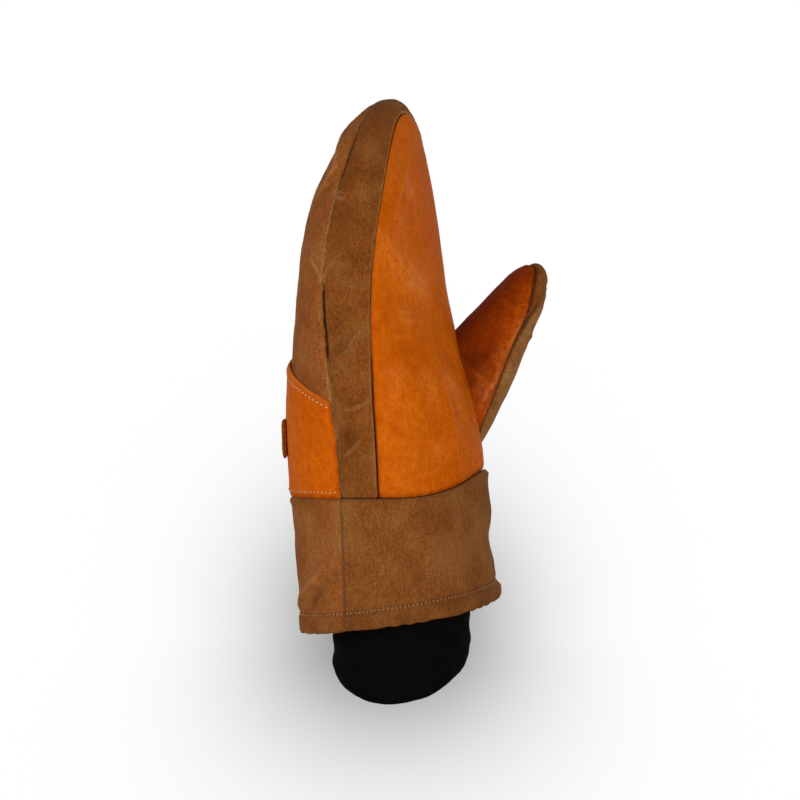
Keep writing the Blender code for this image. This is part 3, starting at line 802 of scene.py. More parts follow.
def finishSurface(tree, shader, values, bumps):
    # the bumps lie one on another: height, strength and depth in metres
    connect(tree, shader.inputs, values)
    normal = {}
    for height, strength, depth in bumps:
        made = put(tree, "Bump", {"Height": height, "Strength": strength, "Distance": depth, **normal})
        normal = {"Normal": made.outputs[0]}
    connect(tree, shader.inputs, normal)


canvasLook = {
    "dark": (0.092, 0.027, 0.0038, 1), "mid": (0.180, 0.060, 0.0110, 1), "pale": (0.320, 0.140, 0.042, 1),
    "seam": (0.045, 0.015, 0.0035, 1), "rubbed": (0.38, 0.190, 0.075, 1), "gold": (0.40, 0.215, 0.070, 1),
    "olive": (0.170, 0.078, 0.0200, 1), "roughness": 0.90, "sheen": 0.06, "sheenTint": (1.0, 0.66, 0.36, 1),
    "threads": 1700.0,  # crossings in a metre
    "tones": (0.36, 0.20, 0.70, 0.44),  # how much the clouds, blotches, slubs and specks show
    "waxed": 0.28, "rubAndHighlight": 0.60, "dirtAndShade": 0.60,
}
leatherLook = {
    "dark": (0.330, 0.050, 0.0008, 1), "mid": (0.425, 0.079, 0.0010, 1), "pale": (0.560, 0.130, 0.0070, 1),
    "seam": (0.110, 0.013, 0.0010, 1), "rubbed": (0.66, 0.240, 0.060, 1), "roughness": 0.50,
    "coatRoughness": 0.36, "shine": 0.16, "contrast": 1.0,
    "tones": (0.26, 0.38, 0.34, 0.44),  # how much the clouds, blotches, specks and streaks show
    # mark: how much the sheen spots lighten the tone, a painted sheen
    "mark": 0.32, "rubAndHighlight": 0.30, "dirtAndShade": 0.60,
}
# a darker, redder copy of the leather for the thumb pad: painted shade
shadedThumbLook = {
    **leatherLook, "contrast": 0.5, "shine": 0.07,
    "dark": (0.160, 0.0155, 0.0004, 1), "mid": (0.214, 0.0270, 0.0005, 1), "pale": (0.430, 0.0790, 0.0030, 1),
    "seam": (0.040, 0.0045, 0.0005, 1),
}
knitLook = {
    "dark": (0.0016, 0.0011, 0.0011, 1), "pale": (0.0040, 0.0029, 0.0028, 1),
    "ribs": 118.0, "loopHeight": 0.0012,
}


def tinted(look, tint):
    return (tuple(a * b for a, b in zip(look[key], tint)) + (1,) for key in ("dark", "mid", "pale"))


def makeCanvas(name, look, tint):
    material, tree, shader = startMaterial(name, look["roughness"], 0.04, look["sheen"])
    shader.inputs["Sheen Tint"].default_value = look["sheenTint"]
    mottle = useGroup(tree, "mottle", Scale=55.0, Contrast=1.0)
    weave = useGroup(tree, "weave", Threads=look["threads"])
    wearShadeSheen = useGroup(tree, "edgeWearShadeSheen", Reach=0.0010)
    dark, mid, pale = tinted(look, tint)
    tones = (mottle["Cloud"], mottle["Tone"], weave["Slub"], mottle["Speck"])
    tone = addTones(tree, 0.5, zip(tones, look["tones"]))
    gold = times(tree, ramp(tree, wearShadeSheen["Mark"], 0.0, -1.0), ramp(tree, weave["Slub"], 0.35, 0.60, 0.2, 0.8))
    # the seam colour lays dirt and painted shade along seams, and painted shade in deep folds, at the thumb's
    # joint and where a seam stands open; the rubbed colour lays worn creases and edges, with a painted
    # highlight on some ridges
    colour = layered(
        tree, dark, (ramp(tree, tone, 0.0, 0.5), mid), (ramp(tree, tone, 0.5, 1.15), pale),
        (times(tree, ramp(tree, mottle["Cloud"], 0.50, 0.95), look["waxed"]), look["olive"]),
        (times(tree, wearShadeSheen["RubAndHighlight"], look["rubAndHighlight"]), look["rubbed"]),
        (times(tree, wearShadeSheen["DirtAndShade"], look["dirtAndShade"]), look["seam"]),
        (gold, look["gold"]), (ramp(tree, wearShadeSheen["Mark"], 0.15, 0.75), look["seam"]))
    rough = ramp(tree, mottle["Tone"], 0.0, 1.0, 0.82, 0.94)
    bumps = (mottle["Tone"], 0.30, 0.0004), (weave["Slub"], 0.6, 0.00030), (weave["Height"], 0.4, 0.00010)
    finishSurface(tree, shader, {"Base Color": colour, "Roughness": rough}, bumps)
    return material


def makeLeather(name, look, shade=1.0):
    material, tree, shader = startMaterial(name, look["roughness"], 0.015)
    shader.inputs["Coat Roughness"].default_value = look["coatRoughness"]
    mottle = useGroup(tree, "mottle", Scale=30.0, Contrast=0.9)
    grain = useGroup(tree, "grain", Scale=1500.0, Wrinkles=1.0)
    wearShadeSheen = useGroup(tree, "edgeWearShadeSheen", Reach=0.0016)
    dark, mid, pale = tinted(look, (shade, shade, shade))
    tones = (mottle["Cloud"], mottle["Tone"], mottle["Speck"], grain["Streak"])
    tone = addTones(tree, 0.5, zip(tones, (share * look["contrast"] for share in look["tones"])))
    # lifts the tone at the sheen spots: painted sheen
    tone = calc(tree, "MULTIPLY_ADD", wearShadeSheen["Mark"], look["mark"], tone)
    # the seam colour lays dirt and painted shade along seams, and painted shade in deep folds and at the
    # thumb's joint; the rubbed colour lays worn edges and a painted highlight on the thumb's ridge
    colour = layered(
        tree, dark, (ramp(tree, tone, 0.1, 0.5), mid), (ramp(tree, tone, 0.5, 1.0), pale),
        (times(tree, wearShadeSheen["RubAndHighlight"], look["rubAndHighlight"]), look["rubbed"]),
        (times(tree, wearShadeSheen["DirtAndShade"], look["dirtAndShade"]), look["seam"]))
    rough = ramp(tree, mottle["Tone"], 0.0, 1.0, 0.50, 0.60)
    shine = ramp(tree, wearShadeSheen["Mark"], 0.05, 1.0, 0.0, look["shine"])
    bumps = (mottle["Tone"], 0.22, 0.0004), (grain["Height"], 0.75, 0.00020)
    finishSurface(tree, shader, {"Base Color": colour, "Roughness": rough, "Coat Weight": shine}, bumps)
    return material


def makeKnit(name, look):
    material, tree, shader = startMaterial(name, 0.95, 0.03)
    parts = put(tree, "SeparateXYZ", {0: objectPlace(tree)}).outputs
    rib = calc(tree, "SINE", times(tree, calc(tree, "ARCTAN2", parts[1], parts[0]), look["ribs"]))
    row = calc(tree, "SINE", times(tree, parts[2], 2 * math.pi / look["loopHeight"]))
    loops = calc(tree, "MULTIPLY_ADD", row, 0.35, rib)
    mottle = useGroup(tree, "mottle", Scale=70.0, Contrast=1.0)
    tone = calc(tree, "MULTIPLY_ADD", ramp(tree, loops, -1.3, 1.3), 0.3, times(tree, mottle["Tone"], 0.6))
    colour = layered(tree, look["dark"], (tone, look["pale"]))
    rough = ramp(tree, mottle["Speck"], 0.0, 1.0, 0.88, 0.97)
    bumps = (mottle["Tone"], 0.25, 0.0005), (loops, 0.35, 0.00016)
    finishSurface(tree, shader, {"Base Color": colour, "Roughness": rough}, bumps)
    return material


def makeThread(name, pale, dark):
    material, tree, shader = startMaterial(name, 0.7, 0.3)
    mottle = useGroup(tree, "mottle", Scale=400.0, Contrast=1.3)
    colour = layered(tree, dark, (mottle["Tone"], pale))
    rough = ramp(tree, mottle["Speck"], 0.0, 1.0, 0.6, 0.8)
    finishSurface(tree, shader, {"Base Color": colour, "Roughness": rough}, [(mottle["Speck"], 0.5, 0.0001)])
    return material


# each piece's copy of the canvas is made lighter or darker to match how brightly that piece is lit: painted
# light and shade; the thumb's copy is paler and greyer for the light that falls on it from the right
canvasTints = {
    "waxedCanvasStrip": (0.89, 0.76, 0.60), "waxedCanvasBack": (1.22, 1.06, 1.02),
    "waxedCanvasThumb": (1.28, 1.50, 2.10), "waxedCanvasCuff": (1.22, 1.12, 1.16),
    "waxedCanvasCuffPalm": (0.94, 0.90, 0.92),
}
leathers = {
    # the thumb pad's copy is a darker, redder leather: painted shade
    "thumbLeatherPaintedShade": (shadedThumbLook, 1.0), "tannedLeather": (leatherLook, 1.0),
    # the band's copy is made lighter to match how brightly it is lit: painted light
    "bandLeather": (leatherLook, 1.10), "loopLeather": (leatherLook, 0.62),
}
threads = {
    "beigeThread": ((0.62, 0.34, 0.17, 1), (0.46, 0.17, 0.055, 1)),
    "goldenThread": ((0.40, 0.215, 0.078, 1), (0.20, 0.088, 0.024, 1)),
    "faintThread": ((0.34, 0.175, 0.058, 1), (0.18, 0.072, 0.018, 1)),
    "brownThread": ((0.180, 0.062, 0.012, 1), (0.115, 0.037, 0.006, 1)),
    # needleHole: near-black, for the dots that paint the shade in needle holes; the thumb pad's edge stitches
    # use it too
    "needleHole": ((0.055, 0.016, 0.004, 1), (0.030, 0.008, 0.002, 1)),
}
materials = {name: makeCanvas(name, canvasLook, tint) for name, tint in canvasTints.items()}
materials.update((name, makeLeather(name, *plan)) for name, plan in leathers.items())
materials.update((name, makeThread(name, *colours)) for name, colours in threads.items())
materials["ribbedKnit"] = makeKnit("ribbedKnit", knitLook)
print("materials made:", len(materials))


def lookOf(material, slot, node, wrinkle, wrinkleSize, ripple, rippleSize, **more):
    return {"material": materials[material], "slot": slot, "node": node, "wrinkle": wrinkle,
            "wrinkleSize": wrinkleSize, "ripple": ripple, "rippleSize": rippleSize, **more}


# palm and back
plainSeam = {"drop": 0.0004, "width": 0.0013, "pucker": 0.00012, "lessDirtAndShade": 0.0006}
slitSeam = {**plainSeam, "slit": 0.0009}
handFace = {
    "wall": 0.0024,
    "grid": (120, 200),
    "palmSeams": bothSides(
        {"drop": 0.0019, "width": 0.0018, "flatter": 0.92, "pucker": 0.00008, "lessDirtAndShade": 0.0006},
        low={"drop": 0.0007, "width": 0.0020, "pucker": 0.00022, "puckerReach": 0.007}),
    "backSeams": {"left": slitSeam, "right": plainSeam,
                  "low": {"drop": 0.0012, "width": 0.0022, "pucker": 0.0002}},
}


def tipShift(along, onThumbSide):
    height = np.asarray(along) + handForm["base"][2]
    start, full, last, end = seamPlan["tipShiftHeights"]
    inside = softStep((height - start) / (full - start)) * softStep((end - height) / (end - last))
    return seamPlan["tipShift"] * inside * onThumbSide


def panelMargin(form, side):
    def margin(along, share):
        plain = column(form, "strip", along) / 2 + seamPlan["gap"] / 2
        if form is thumbForm:
            return plain
        if side < 0:
            end = np.maximum(0, along - form["crown"]) / form["roundEnd"]
            beside = np.asarray(share) * np.sqrt(np.maximum(0, 1 - end**2))
            return plain - tipShift(along, softStep(beside + 0.5))
        return plain + seamPlan["slitOpen"] / 2 * slitAt(along + form["base"][2]) * (np.asarray(share) < 0)

    return margin


def handFaceSurface(side):
    margin = panelMargin(handForm, side)
    top = faceTop(handForm, side, margin)

    def surface(across, up):
        share = spread(across)
        foot = onFace(handForm, side, share, 0 * share, margin)
        low = lowEdge(foot)
        along = low + (top - low) * (1 - (1 - up) ** seamPlan["rowPower"])
        point = onFace(handForm, side, share, along, margin)
        return point, normalsOf(handForm, point), handFace["wall"]

    return surface


palmLook = lookOf("tannedLeather", "leather", "palm_panel", 0.00040, 0.030, 0.00004, 0.006)
backLook = lookOf("waxedCanvasBack", "canvas", "back_panel", 0.00045, 0.017, 0.00007, 0.0045)
thumbHole = [(thumbForm, *seamPlan["thumbHole"])]
makeWall("palmPanel", handFace["grid"], handFaceSurface(-1), handFace["palmSeams"], palmLook, thumbHole)
makeWall("backPanel", handFace["grid"], handFaceSurface(1), handFace["backSeams"], backLook)

# side strip
stripEnd = {"drop": 0.0006, "width": 0.0016, "pucker": 0.0002, "lessDirtAndShade": 0.0004}
sideStrip = {
    "wall": 0.0024,
    "grid": (26, 460),
    "edgeSweep": math.radians(58),
    "seams": {"left": {"drop": 0.0002, "width": 0.0006, "ridge": 0.0002, "pucker": 0.0001, "lessDirtAndShade": 0.0030,
                       "rubbedEdge": 1.2},
              "right": slitSeam, "low": stripEnd, "high": stripEnd},
}


def stripSurface(across, up):
    straight = handForm["crown"]
    arc = math.pi * (handForm["sizes"]["width"] + handForm["roundEnd"]) / 2
    whole = 2 * straight + arc
    run = up * whole
    turn = math.pi * np.clip((run - straight) / arc, 0, 1)
    share = np.sin((2 * across - 1) * sideStrip["edgeSweep"]) / math.sin(sideStrip["edgeSweep"])
    footTurn = np.where(up < 0.5, 0.0, math.pi)
    foot, _ = onRim(handForm, footTurn, 0 * run, share * column(handForm, "strip", 0.0) / 2)
    low = lowEdge(foot)
    beside = np.minimum(run, whole - run)
    along = low + (straight - low) * np.minimum(1, beside / straight)
    half = halfStrip(handForm, along)
    for _ in range(5):
        point, at = onRim(handForm, turn, along, share * half)
        onThumbSide = softStep(point[:, 0] / handForm["sizes"]["width"] + 0.5)
        half = halfStrip(handForm, at) - tipShift(at, onThumbSide) * (share < 0)
        openHere = slitAt(at + handForm["base"][2]) * (turn < math.pi / 2) * (share > 0)
        half = half - seamPlan["slitOpen"] / 2 * openHere
    return point, normalsOf(handForm, point), sideStrip["wall"]


stripLook = lookOf("waxedCanvasStrip", "canvas", "side_strip", 0.00045, 0.017, 0.00007, 0.0045)
makeWall("sideStrip", sideStrip["grid"], stripSurface, sideStrip["seams"], stripLook, thumbHole)

# thumb
thumbPlan = {
    "wall": 0.0022,
    "grid": (64, 110),
    "stripGrid": (14, 160),
    "endShare": 0.66,  # of the width, for how long the strip's arc is
    "stripStart": 0.0008,  # width at which the strip starts
    "padSeams": bothSides({"drop": 0.0010, "width": 0.0011, "ridge": 0.0005, "pucker": 0.0001}),
    "backSeams": bothSides({"drop": 0.0011, "width": 0.0012, "pucker": 0.0002}),
    "edgeStitch": {"spacing": 0.0017, "length": 0.0010, "thick": 0.00028, "sink": 0.2},
    "edgeStart": 60,  # the first of the edge's points that shows outside the hand
}


def thumbFaceSurface(side):
    margin = panelMargin(thumbForm, side)
    top = faceTop(thumbForm, side, margin)

    def surface(across, up):
        along = top * (1 - (1 - up) ** seamPlan["rowPower"])
        point = onFace(thumbForm, side, spread(across), along, margin)
        return point, normalsOf(thumbForm, point), thumbPlan["wall"]

    return surface


def thumbStripSurface(across, up):
    shares = np.linspace(0, 1, 400) * thumbForm["length"]
    start = shares[np.argmax(column(thumbForm, "strip", shares) > thumbPlan["stripStart"])]
    straight = thumbForm["crown"] - start
    arc = math.pi * (thumbForm["sizes"]["width"] * thumbPlan["endShare"] + thumbForm["roundEnd"]) / 2
    whole = 2 * straight + arc
    run = up * whole
    turn = math.pi * np.clip((run - straight) / arc, 0, 1)
    along = start + np.minimum(straight, np.minimum(run, whole - run))
    half = halfStrip(thumbForm, along)
    for _ in range(5):
        point, at = onRim(thumbForm, turn, along, (2 * across - 1) * half)
        half = halfStrip(thumbForm, at)
    return point, normalsOf(thumbForm, point), thumbPlan["wall"]


padLook = lookOf("thumbLeatherPaintedShade", "leather", "thumb_pad", 0.00035, 0.020, 0.00005, 0.006)
thumbBackLook = lookOf("waxedCanvasThumb", "canvas", "thumb_back", 0.00040, 0.014, 0.00008, 0.0045)
thumbStripLook = lookOf("waxedCanvasStrip", "canvas", "thumb_strip", 0.00030, 0.012, 0.00008, 0.0045)
thumbEnd = [(handForm, -handFace["wall"], 0.0)]
makeWall("thumbPad", thumbPlan["grid"], thumbFaceSurface(-1), thumbPlan["padSeams"], padLook, thumbEnd)
makeWall("thumbBack", thumbPlan["grid"], thumbFaceSurface(1), thumbPlan["backSeams"], thumbBackLook, thumbEnd)
makeWall("thumbStrip", thumbPlan["stripGrid"], thumbStripSurface, thumbPlan["backSeams"], thumbStripLook)

# band over the back of the wrist, and its loop
bandPlan = {
    "wall": 0.0016,
    "grid": (120, 70),
    "gap": 0.0005,
    "sideHeight": 0.0455,
    "arch": 0.0205,
    "archPower": 0.62,
    "seams": bothSides({"drop": 0.0011, "width": 0.0018, "pucker": 0.00015},
                       low={"drop": 0.0008, "width": 0.0016, "pucker": 0.0002},
                       high={"drop": 0.0006, "width": 0.0008, "lessDirtAndShade": 0.0030, "rubbedEdge": 2.6}),
    "topStitch": {"inset": 0.0030, "spacing": 0.0029, "length": 0.0021, "thick": 0.00042, "lean": 0.16},
    "lowStitch": {"inset": 0.0032, "spacing": 0.0026, "length": 0.0018, "thick": 0.00034, "lean": 0.10},
}
loopPlan = {
    "wall": 0.0015, "grid": (44, 30), "height": 0.026, "width": 0.018, "span": 0.026, "offset": -0.016,
    "rise": 0.0010, "ragged": 0.0006, "corner": 0.55, "seam": {"drop": 0.0005, "width": 0.0008},
    "stitch": {"spacing": 0.0026, "length": 0.0017, "thick": 0.00026}, "stitchShares": (0.08, 0.92),
}


def bandRise(share):
    return bandPlan["sideHeight"] + bandPlan["arch"] * np.maximum(0, 1 - share**2) ** bandPlan["archPower"]


def bandSurface(across, up):
    margin = panelMargin(handForm, 1)
    share = spread(across)
    foot = onFace(handForm, 1, share, 0 * share, margin)
    low = lowEdge(foot)
    along = low + (bandRise(share) - low) * up
    point = onFace(handForm, 1, share, along, margin)
    normal = normalsOf(handForm, point)
    return point + (bandPlan["gap"] + bandPlan["wall"]) * normal, normal, bandPlan["wall"]


def loopSurface(across, up):
    def margin(along, share):
        return column(handForm, "strip", along) / 2

    ragged = loopPlan["ragged"] * np.sin(across * 23 + 1) * np.abs(2 * up - 1) ** 6
    along = loopPlan["height"] + (up - 0.5) * loopPlan["width"] + ragged
    x = loopPlan["offset"] + (across - 0.5) * loopPlan["span"]
    width = column(handForm, "width", along) * edgeShare(handForm, 1, margin(along, 0), along)
    point = onFace(handForm, 1, x / width, along, margin)
    normal = normalsOf(handForm, point)
    corner = 1 - loopPlan["corner"] * np.abs(2 * up - 1) ** 5
    rise = loopPlan["rise"] * np.sin(np.pi * across) ** 0.8 * corner
    lift = 2 * bandPlan["gap"] + bandPlan["wall"] + loopPlan["wall"] + rise
    return point + lift[:, None] * normal, normal, loopPlan["wall"]


bandEase = bandPlan["gap"] + bandPlan["wall"]
bandLook = lookOf("bandLeather", "leather", "wrist_band", 0.00045, 0.017, 0.00004, 0.006, ease=bandEase)
loopLook = lookOf("loopLeather", "leather", "band_loop", 0.00020, 0.010, 0.00004, 0.004)
loopSeams = bothSides(loopPlan["seam"], low=loopPlan["seam"], high=loopPlan["seam"])
makeWall("wristBand", bandPlan["grid"], bandSurface, bandPlan["seams"], bandLook)
makeWall("bandLoop", loopPlan["grid"], loopSurface, loopSeams, loopLook)

# canvas cuff
cuffPlan = {
    "wall": 0.0020,
    "ease": 0.0016,
    "hemFold": 0.0090,
    "hemWall": 0.0034,
    "hemFlare": 0.0007,
    "hemWave": 0.00028,
    "grid": (150, 100),
    "seams": bothSides({"drop": 0.0003, "width": 0.0010, "pucker": 0.00015, "lessDirtAndShade": 0.0008},
                       low={"drop": 0.0009, "width": 0.0012, "lessDirtAndShade": 0.0003},
                       high={"drop": 0.0010, "width": 0.0010, "ridge": 0.0003, "pucker": 0.00034,
                             "spacing": 0.0058, "puckerReach": 0.006, "lessDirtAndShade": 0.0006, "rubbedEdge": 0.5}),
    "groove": (0.0006, 0.0009),  # depth and width of the line that the hem is stitched along
    "pull": 0.00022,  # what each hem stitch pulls up beside it
    "sideStitch": {"inset": 0.0014, "spacing": 0.0026, "length": 0.0011, "thick": 0.00017},
    "halfRound": 0.15,  # about how far it is round half the cuff
    "sideRise": (0.002, 0.058),  # from where to where above the hem's edge the side stitches run
    "seamRise": (0.0, 0.060),
    "hemStitch": {"spacing": 0.0021, "length": 0.0014, "thick": 0.00036, "hole": 0.00048, "lean": 0.32},
    "seamStitch": {"spacing": 0.0011, "length": 0.0012, "thick": 0.00030},
    "corners": ((math.radians(112), -0.0013, 0.0), (math.radians(-68), 0.0004, 0.0016)),  # angle, lift, flare
    "cornerReach": 0.16,
    "grow": (0.92, 0.0012),  # share of the hem's height where its double cloth ends, and over how much
}


def cuffAngle(side, across):
    strip, depth = column(handForm, "strip", 0.0) / 2, faceDepth(handForm, 1, 0.0)
    topSeam = math.asin((strip / depth) ** (roundness / 2))
    margin = seamPlan["gap"] / 2 / handForm["sizes"]["width"]
    if side > 0:
        start, end = math.pi - topSeam - margin, topSeam + margin
    else:
        start, end = math.pi - topSeam + margin, 2 * math.pi + topSeam - margin
    return start + (end - start) * across


def cuffPoint(side, across, rise):
    # rise is in metres above the hem's lower edge
    angle = cuffAngle(side, across)
    foot = onRing(handForm, angle, 0 * angle)
    point = onRing(handForm, angle, hemLine(foot) + rise - seamPlan["wristHeight"])
    normal = normalsOf(handForm, point)
    return point + cuffPlan["ease"] * normal, normal


def cornerAt(points, which):
    # the hem's two worn corners: how far each is pulled down or out
    angle = np.arctan2(points[:, 1], points[:, 0])
    reach = cuffPlan["cornerReach"]
    return sum(corner[which] * hump(angle - corner[0], reach) for corner in cuffPlan["corners"])


def cuffSurface(side):
    def surface(across, up):
        angle = cuffAngle(side, across)
        foot = onRing(handForm, angle, 0 * across)
        tall = wristLine(foot) - seamPlan["gap"] / 2 - hemLine(foot)
        scallop = cuffPlan["hemWave"] * np.sin(angle * 29 + 3 * np.sin(angle * 7)) + cornerAt(foot, 1)
        rise = tall * up + scallop * (1 - up) ** 8
        point, normal = cuffPoint(side, across, rise)
        share, over = cuffPlan["grow"]
        inHem = 1 - softStep((rise - cuffPlan["hemFold"] * share) / over)
        return point, normal, cuffPlan["wall"] + (cuffPlan["hemWall"] - cuffPlan["wall"]) * inHem

    return surface


def hemShape(base, across, up):
    # the stitched groove, the flare below it and the small pulls of each stitch
    rise = base[:, 2] - hemLine(base)
    depth, width = cuffPlan["groove"]
    groove = -depth * hump(rise - cuffPlan["hemFold"], width)
    flare = (cuffPlan["hemFlare"] + cornerAt(base, 2)) * softStep((cuffPlan["hemFold"] - rise) / 0.004)
    angle = np.arctan2(base[:, 1], base[:, 0])
    wander = 0.7 * np.sin(angle * 17) + 0.5 * np.sin(angle * 41)
    pull = np.sin(angle * 74 + wander + rise * 160) * np.exp(-np.abs(rise - cuffPlan["hemFold"]) / 0.0035)
    return groove + flare + cuffPlan["pull"] * pull


def hemStain(points):
    # the doubled cloth of the hem is a little darker
    return 0.0010 + 0.5 * np.maximum(0, points[:, 2] - hemLine(points) - cuffPlan["hemFold"])


for side, name, canvas, node in ((1, "cuffBack", "waxedCanvasCuff", "cuff_back"),
                                 (-1, "cuffPalm", "waxedCanvasCuffPalm", "cuff_palm")):
    cuffLook = lookOf(canvas, "canvas", node, 0.00060, 0.020, 0.00009, 0.0045, stain=hemStain,
                      ease=cuffPlan["ease"])
    makeWall(name, cuffPlan["grid"], cuffSurface(side), cuffPlan["seams"], cuffLook, extra=hemShape)

# knitted cuff
knitPlan = {
    "halfWidth": 0.0358,
    "halfDepth": 0.0340,
    "shift": 0.0010,
    "wall": 0.0030,
    "overlap": 0.006,
    "freeHeight": 0.0505,
    "rimSlope": 0.11,
    "rimDip": 0.0060,
    "rimWave": 0.0035,
    "rimAngle": math.radians(200),
    "roll": 0.0005,
    "rimRound": 0.0006,
    "curl": 0.0020,
    "curlHeight": 0.008,
    "grid": (200, 96),
}


def knitOutside(angle, up):
    foot = onRing(handForm, angle, 0 * angle)
    top = wristLine(foot) + knitPlan["overlap"]
    x, y = knitPlan["halfWidth"] * np.cos(angle), knitPlan["halfDepth"] * np.sin(angle)
    slant = seamPlan["hemAngle"]
    rim = knitPlan["rimSlope"] * (x * math.cos(slant) + y * math.sin(slant))
    rim = rim - knitPlan["rimDip"] * np.cos(angle - knitPlan["rimAngle"])
    rim = rim - knitPlan["rimWave"] * np.cos(2 * (angle - knitPlan["rimAngle"]))
    height = rim + (top - rim) * up
    flare = softStep((height - knitPlan["freeHeight"]) / (seamPlan["wristHeight"] - knitPlan["freeHeight"]))
    curl = np.maximum(0, 1 - (height - rim) / knitPlan["curlHeight"])
    inward = knitPlan["curl"] * curl**2 / np.hypot(x, y)
    wrist = np.stack((x * (1 - inward), y * (1 - inward), height), 1)
    middle = seamPlan["wristRiseAngle"]
    wrist[:, :2] += knitPlan["shift"] * np.array((math.cos(middle), math.sin(middle)))
    shell = onRing(handForm, angle, height - seamPlan["wristHeight"])
    shell = shell - (handFace["wall"] + bandPlan["gap"]) * normalsOf(handForm, shell)
    shell[:, 2] = height
    return wrist + (shell - wrist) * flare[:, None]


def knitSurface(across, up):
    angle = 2 * math.pi * across
    point = knitOutside(angle, up)
    beside = knitOutside(angle + 0.01, up) - point
    above = knitOutside(angle, np.minimum(1, up + 0.01)) - knitOutside(angle, np.maximum(0, up - 0.01))
    normal = np.cross(beside, above)
    return point, normal / np.linalg.norm(normal, axis=1, keepdims=True), knitPlan["wall"]


def knitFolds(base, across, up):
    # soft rolls round the wrist where the knit is pushed together
    angle = 2 * math.pi * across
    shift = 0.0025 * np.sin(angle * 2 + 1) + 0.0015 * np.sin(angle * 3)
    rolls = np.sin((base[:, 2] + shift) * 2 * np.pi / 0.0145 + 0.6) * softStep((0.040 - base[:, 2]) / 0.02)
    return knitPlan["roll"] * rolls * softStep((up - 0.03) / 0.08) - knitPlan["rimRound"] * hump(up, 0.02)


knitWall = lookOf("ribbedKnit", "knit", "knit_cuff", 0.00070, 0.016, 0.00010, 0.006)
makeWall("knitCuff", knitPlan["grid"], knitSurface, {}, knitWall, extra=knitFolds)

# stitches
def addBead(bm, place, sizes, segments, rings):
    matrix = place @ Matrix.Diagonal((*sizes, 1))
    bmesh.ops.create_uvsphere(bm, u_segments=segments, v_segments=rings, radius=1.0, matrix=matrix)


def sewLine(bm, piece, path, plan, holes=None, across=False):
    # small rounded stitches along a path, half sunk in the piece that they lie on
    sink, lean = plan.get("sink", 0.35), plan.get("lean", 0.0)
    tree = builtTrees[piece]
    runs = runsOf(path)
    for number in range(int(runs[-1] / plan["spacing"])):
        at = (number + 0.5) * plan["spacing"]
        ends = (at - plan["length"] / 2, at + plan["length"] / 2)
        ends = [Vector([np.interp(end, runs, path[:, k]) for k in range(3)]) for end in ends]
        spots = [tree.find_nearest(end) for end in ends]
        middle = (spots[0][0] + spots[1][0]) / 2
        normal = (spots[0][1] + spots[1][1]).normalized()
        along = (spots[1][0] - spots[0][0]).normalized()
        along = (Matrix.Rotation(math.pi / 2 if across else lean, 3, normal) @ along).normalized()
        side = normal.cross(along).normalized()
        turn = Matrix((along, side, along.cross(side))).transposed().to_4x4()
        thick = plan["thick"]
        long = plan["length"] / 2 * (1 + 0.18 * math.sin(number * 2.4) + 0.10 * math.sin(number * 0.9))
        addBead(bm, Matrix.Translation(middle + normal * thick * sink) @ turn, (long, thick, thick), 6, 5)
        if holes:
            # a dark flat dot at the stitch's end: painted shade of its needle hole
            wide = plan.get("hole", 0.00030)
            dot = Matrix.Translation(spots[1][0] + along * wide * 0.8) @ turn
            addBead(holes, dot, (wide, wide, wide * 0.25), 8, 4)


def bandPath(steps, inset, fromTop):
    share = spread(steps)
    foot = onFace(handForm, 1, share, 0 * share, panelMargin(handForm, 1))
    tall = bandRise(share) - wristLine(foot) + seamPlan["wristHeight"]
    return bandSurface(steps, 1 - inset / tall if fromTop else inset / tall)[0]


def sewBand(pale, holes):
    steps = np.linspace(0.004, 0.996, 700)
    for stitch in (bandPlan["topStitch"], bandPlan["lowStitch"]):
        path = bandPath(steps, stitch["inset"], stitch is bandPlan["topStitch"])
        sewLine(pale, "wristBand", path, stitch, holes)
    for edge in loopPlan["stitchShares"]:
        rise = np.linspace(0.10, 0.90, 60)
        sewLine(pale, "bandLoop", loopSurface(0 * rise + edge, rise)[0], loopPlan["stitch"])


def sewCuff(gold, faint, brown, holes):
    for side, name in ((1, "cuffBack"), (-1, "cuffPalm")):
        line = np.linspace(0.004, 0.996, 900)
        sewLine(gold, name, cuffPoint(side, line, cuffPlan["hemFold"])[0], cuffPlan["hemStitch"], holes)
        edge = cuffPlan["sideStitch"]["inset"] / cuffPlan["halfRound"]
        for at in (edge, 1 - edge):
            rise = np.linspace(*cuffPlan["sideRise"], 200)
            sewLine(faint, name, cuffPoint(side, 0 * rise + at, rise)[0], cuffPlan["sideStitch"])
        rise = np.linspace(*cuffPlan["seamRise"], 200)
        sewLine(brown, name, cuffPoint(side, 0 * rise, rise)[0], cuffPlan["seamStitch"])


def sewSlits(faint):
    # short threads that cross the lower open seam like the rungs of a ladder
    rungs = {"spacing": 0.0011, "length": 0.0019, "thick": 0.00020, "sink": -0.9}
    low, high, _ = seamPlan["slits"][1]
    path = edgePath(handFaceSurface(1), "left", 2400)
    sewLine(faint, "backPanel", path[(path[:, 2] > low) & (path[:, 2] < high)], rungs, across=True)


def sewAll():
    pale, gold, faint, brown, holes = (bmesh.new() for _ in range(5))
    sewBand(pale, holes)
    sewCuff(gold, faint, brown, holes)
    sewSlits(faint)
    for edge in ("left", "right"):
        path = edgePath(thumbFaceSurface(-1), edge)[thumbPlan["edgeStart"]:]
        sewLine(holes, "thumbPad", path, thumbPlan["edgeStitch"])
    addPiece("bandStitches", pale, {"material": materials["beigeThread"], "slot": "leather"})
    sewn = (("cuffStitches", gold, "goldenThread"), ("ladderStitches", faint, "faintThread"),
            ("seamThread", brown, "brownThread"), ("needleHoles", holes, "needleHole"))
    for name, bm, material in sewn:
        addPiece(name, bm, {"material": materials[material], "slot": "canvas"})


sewAll()

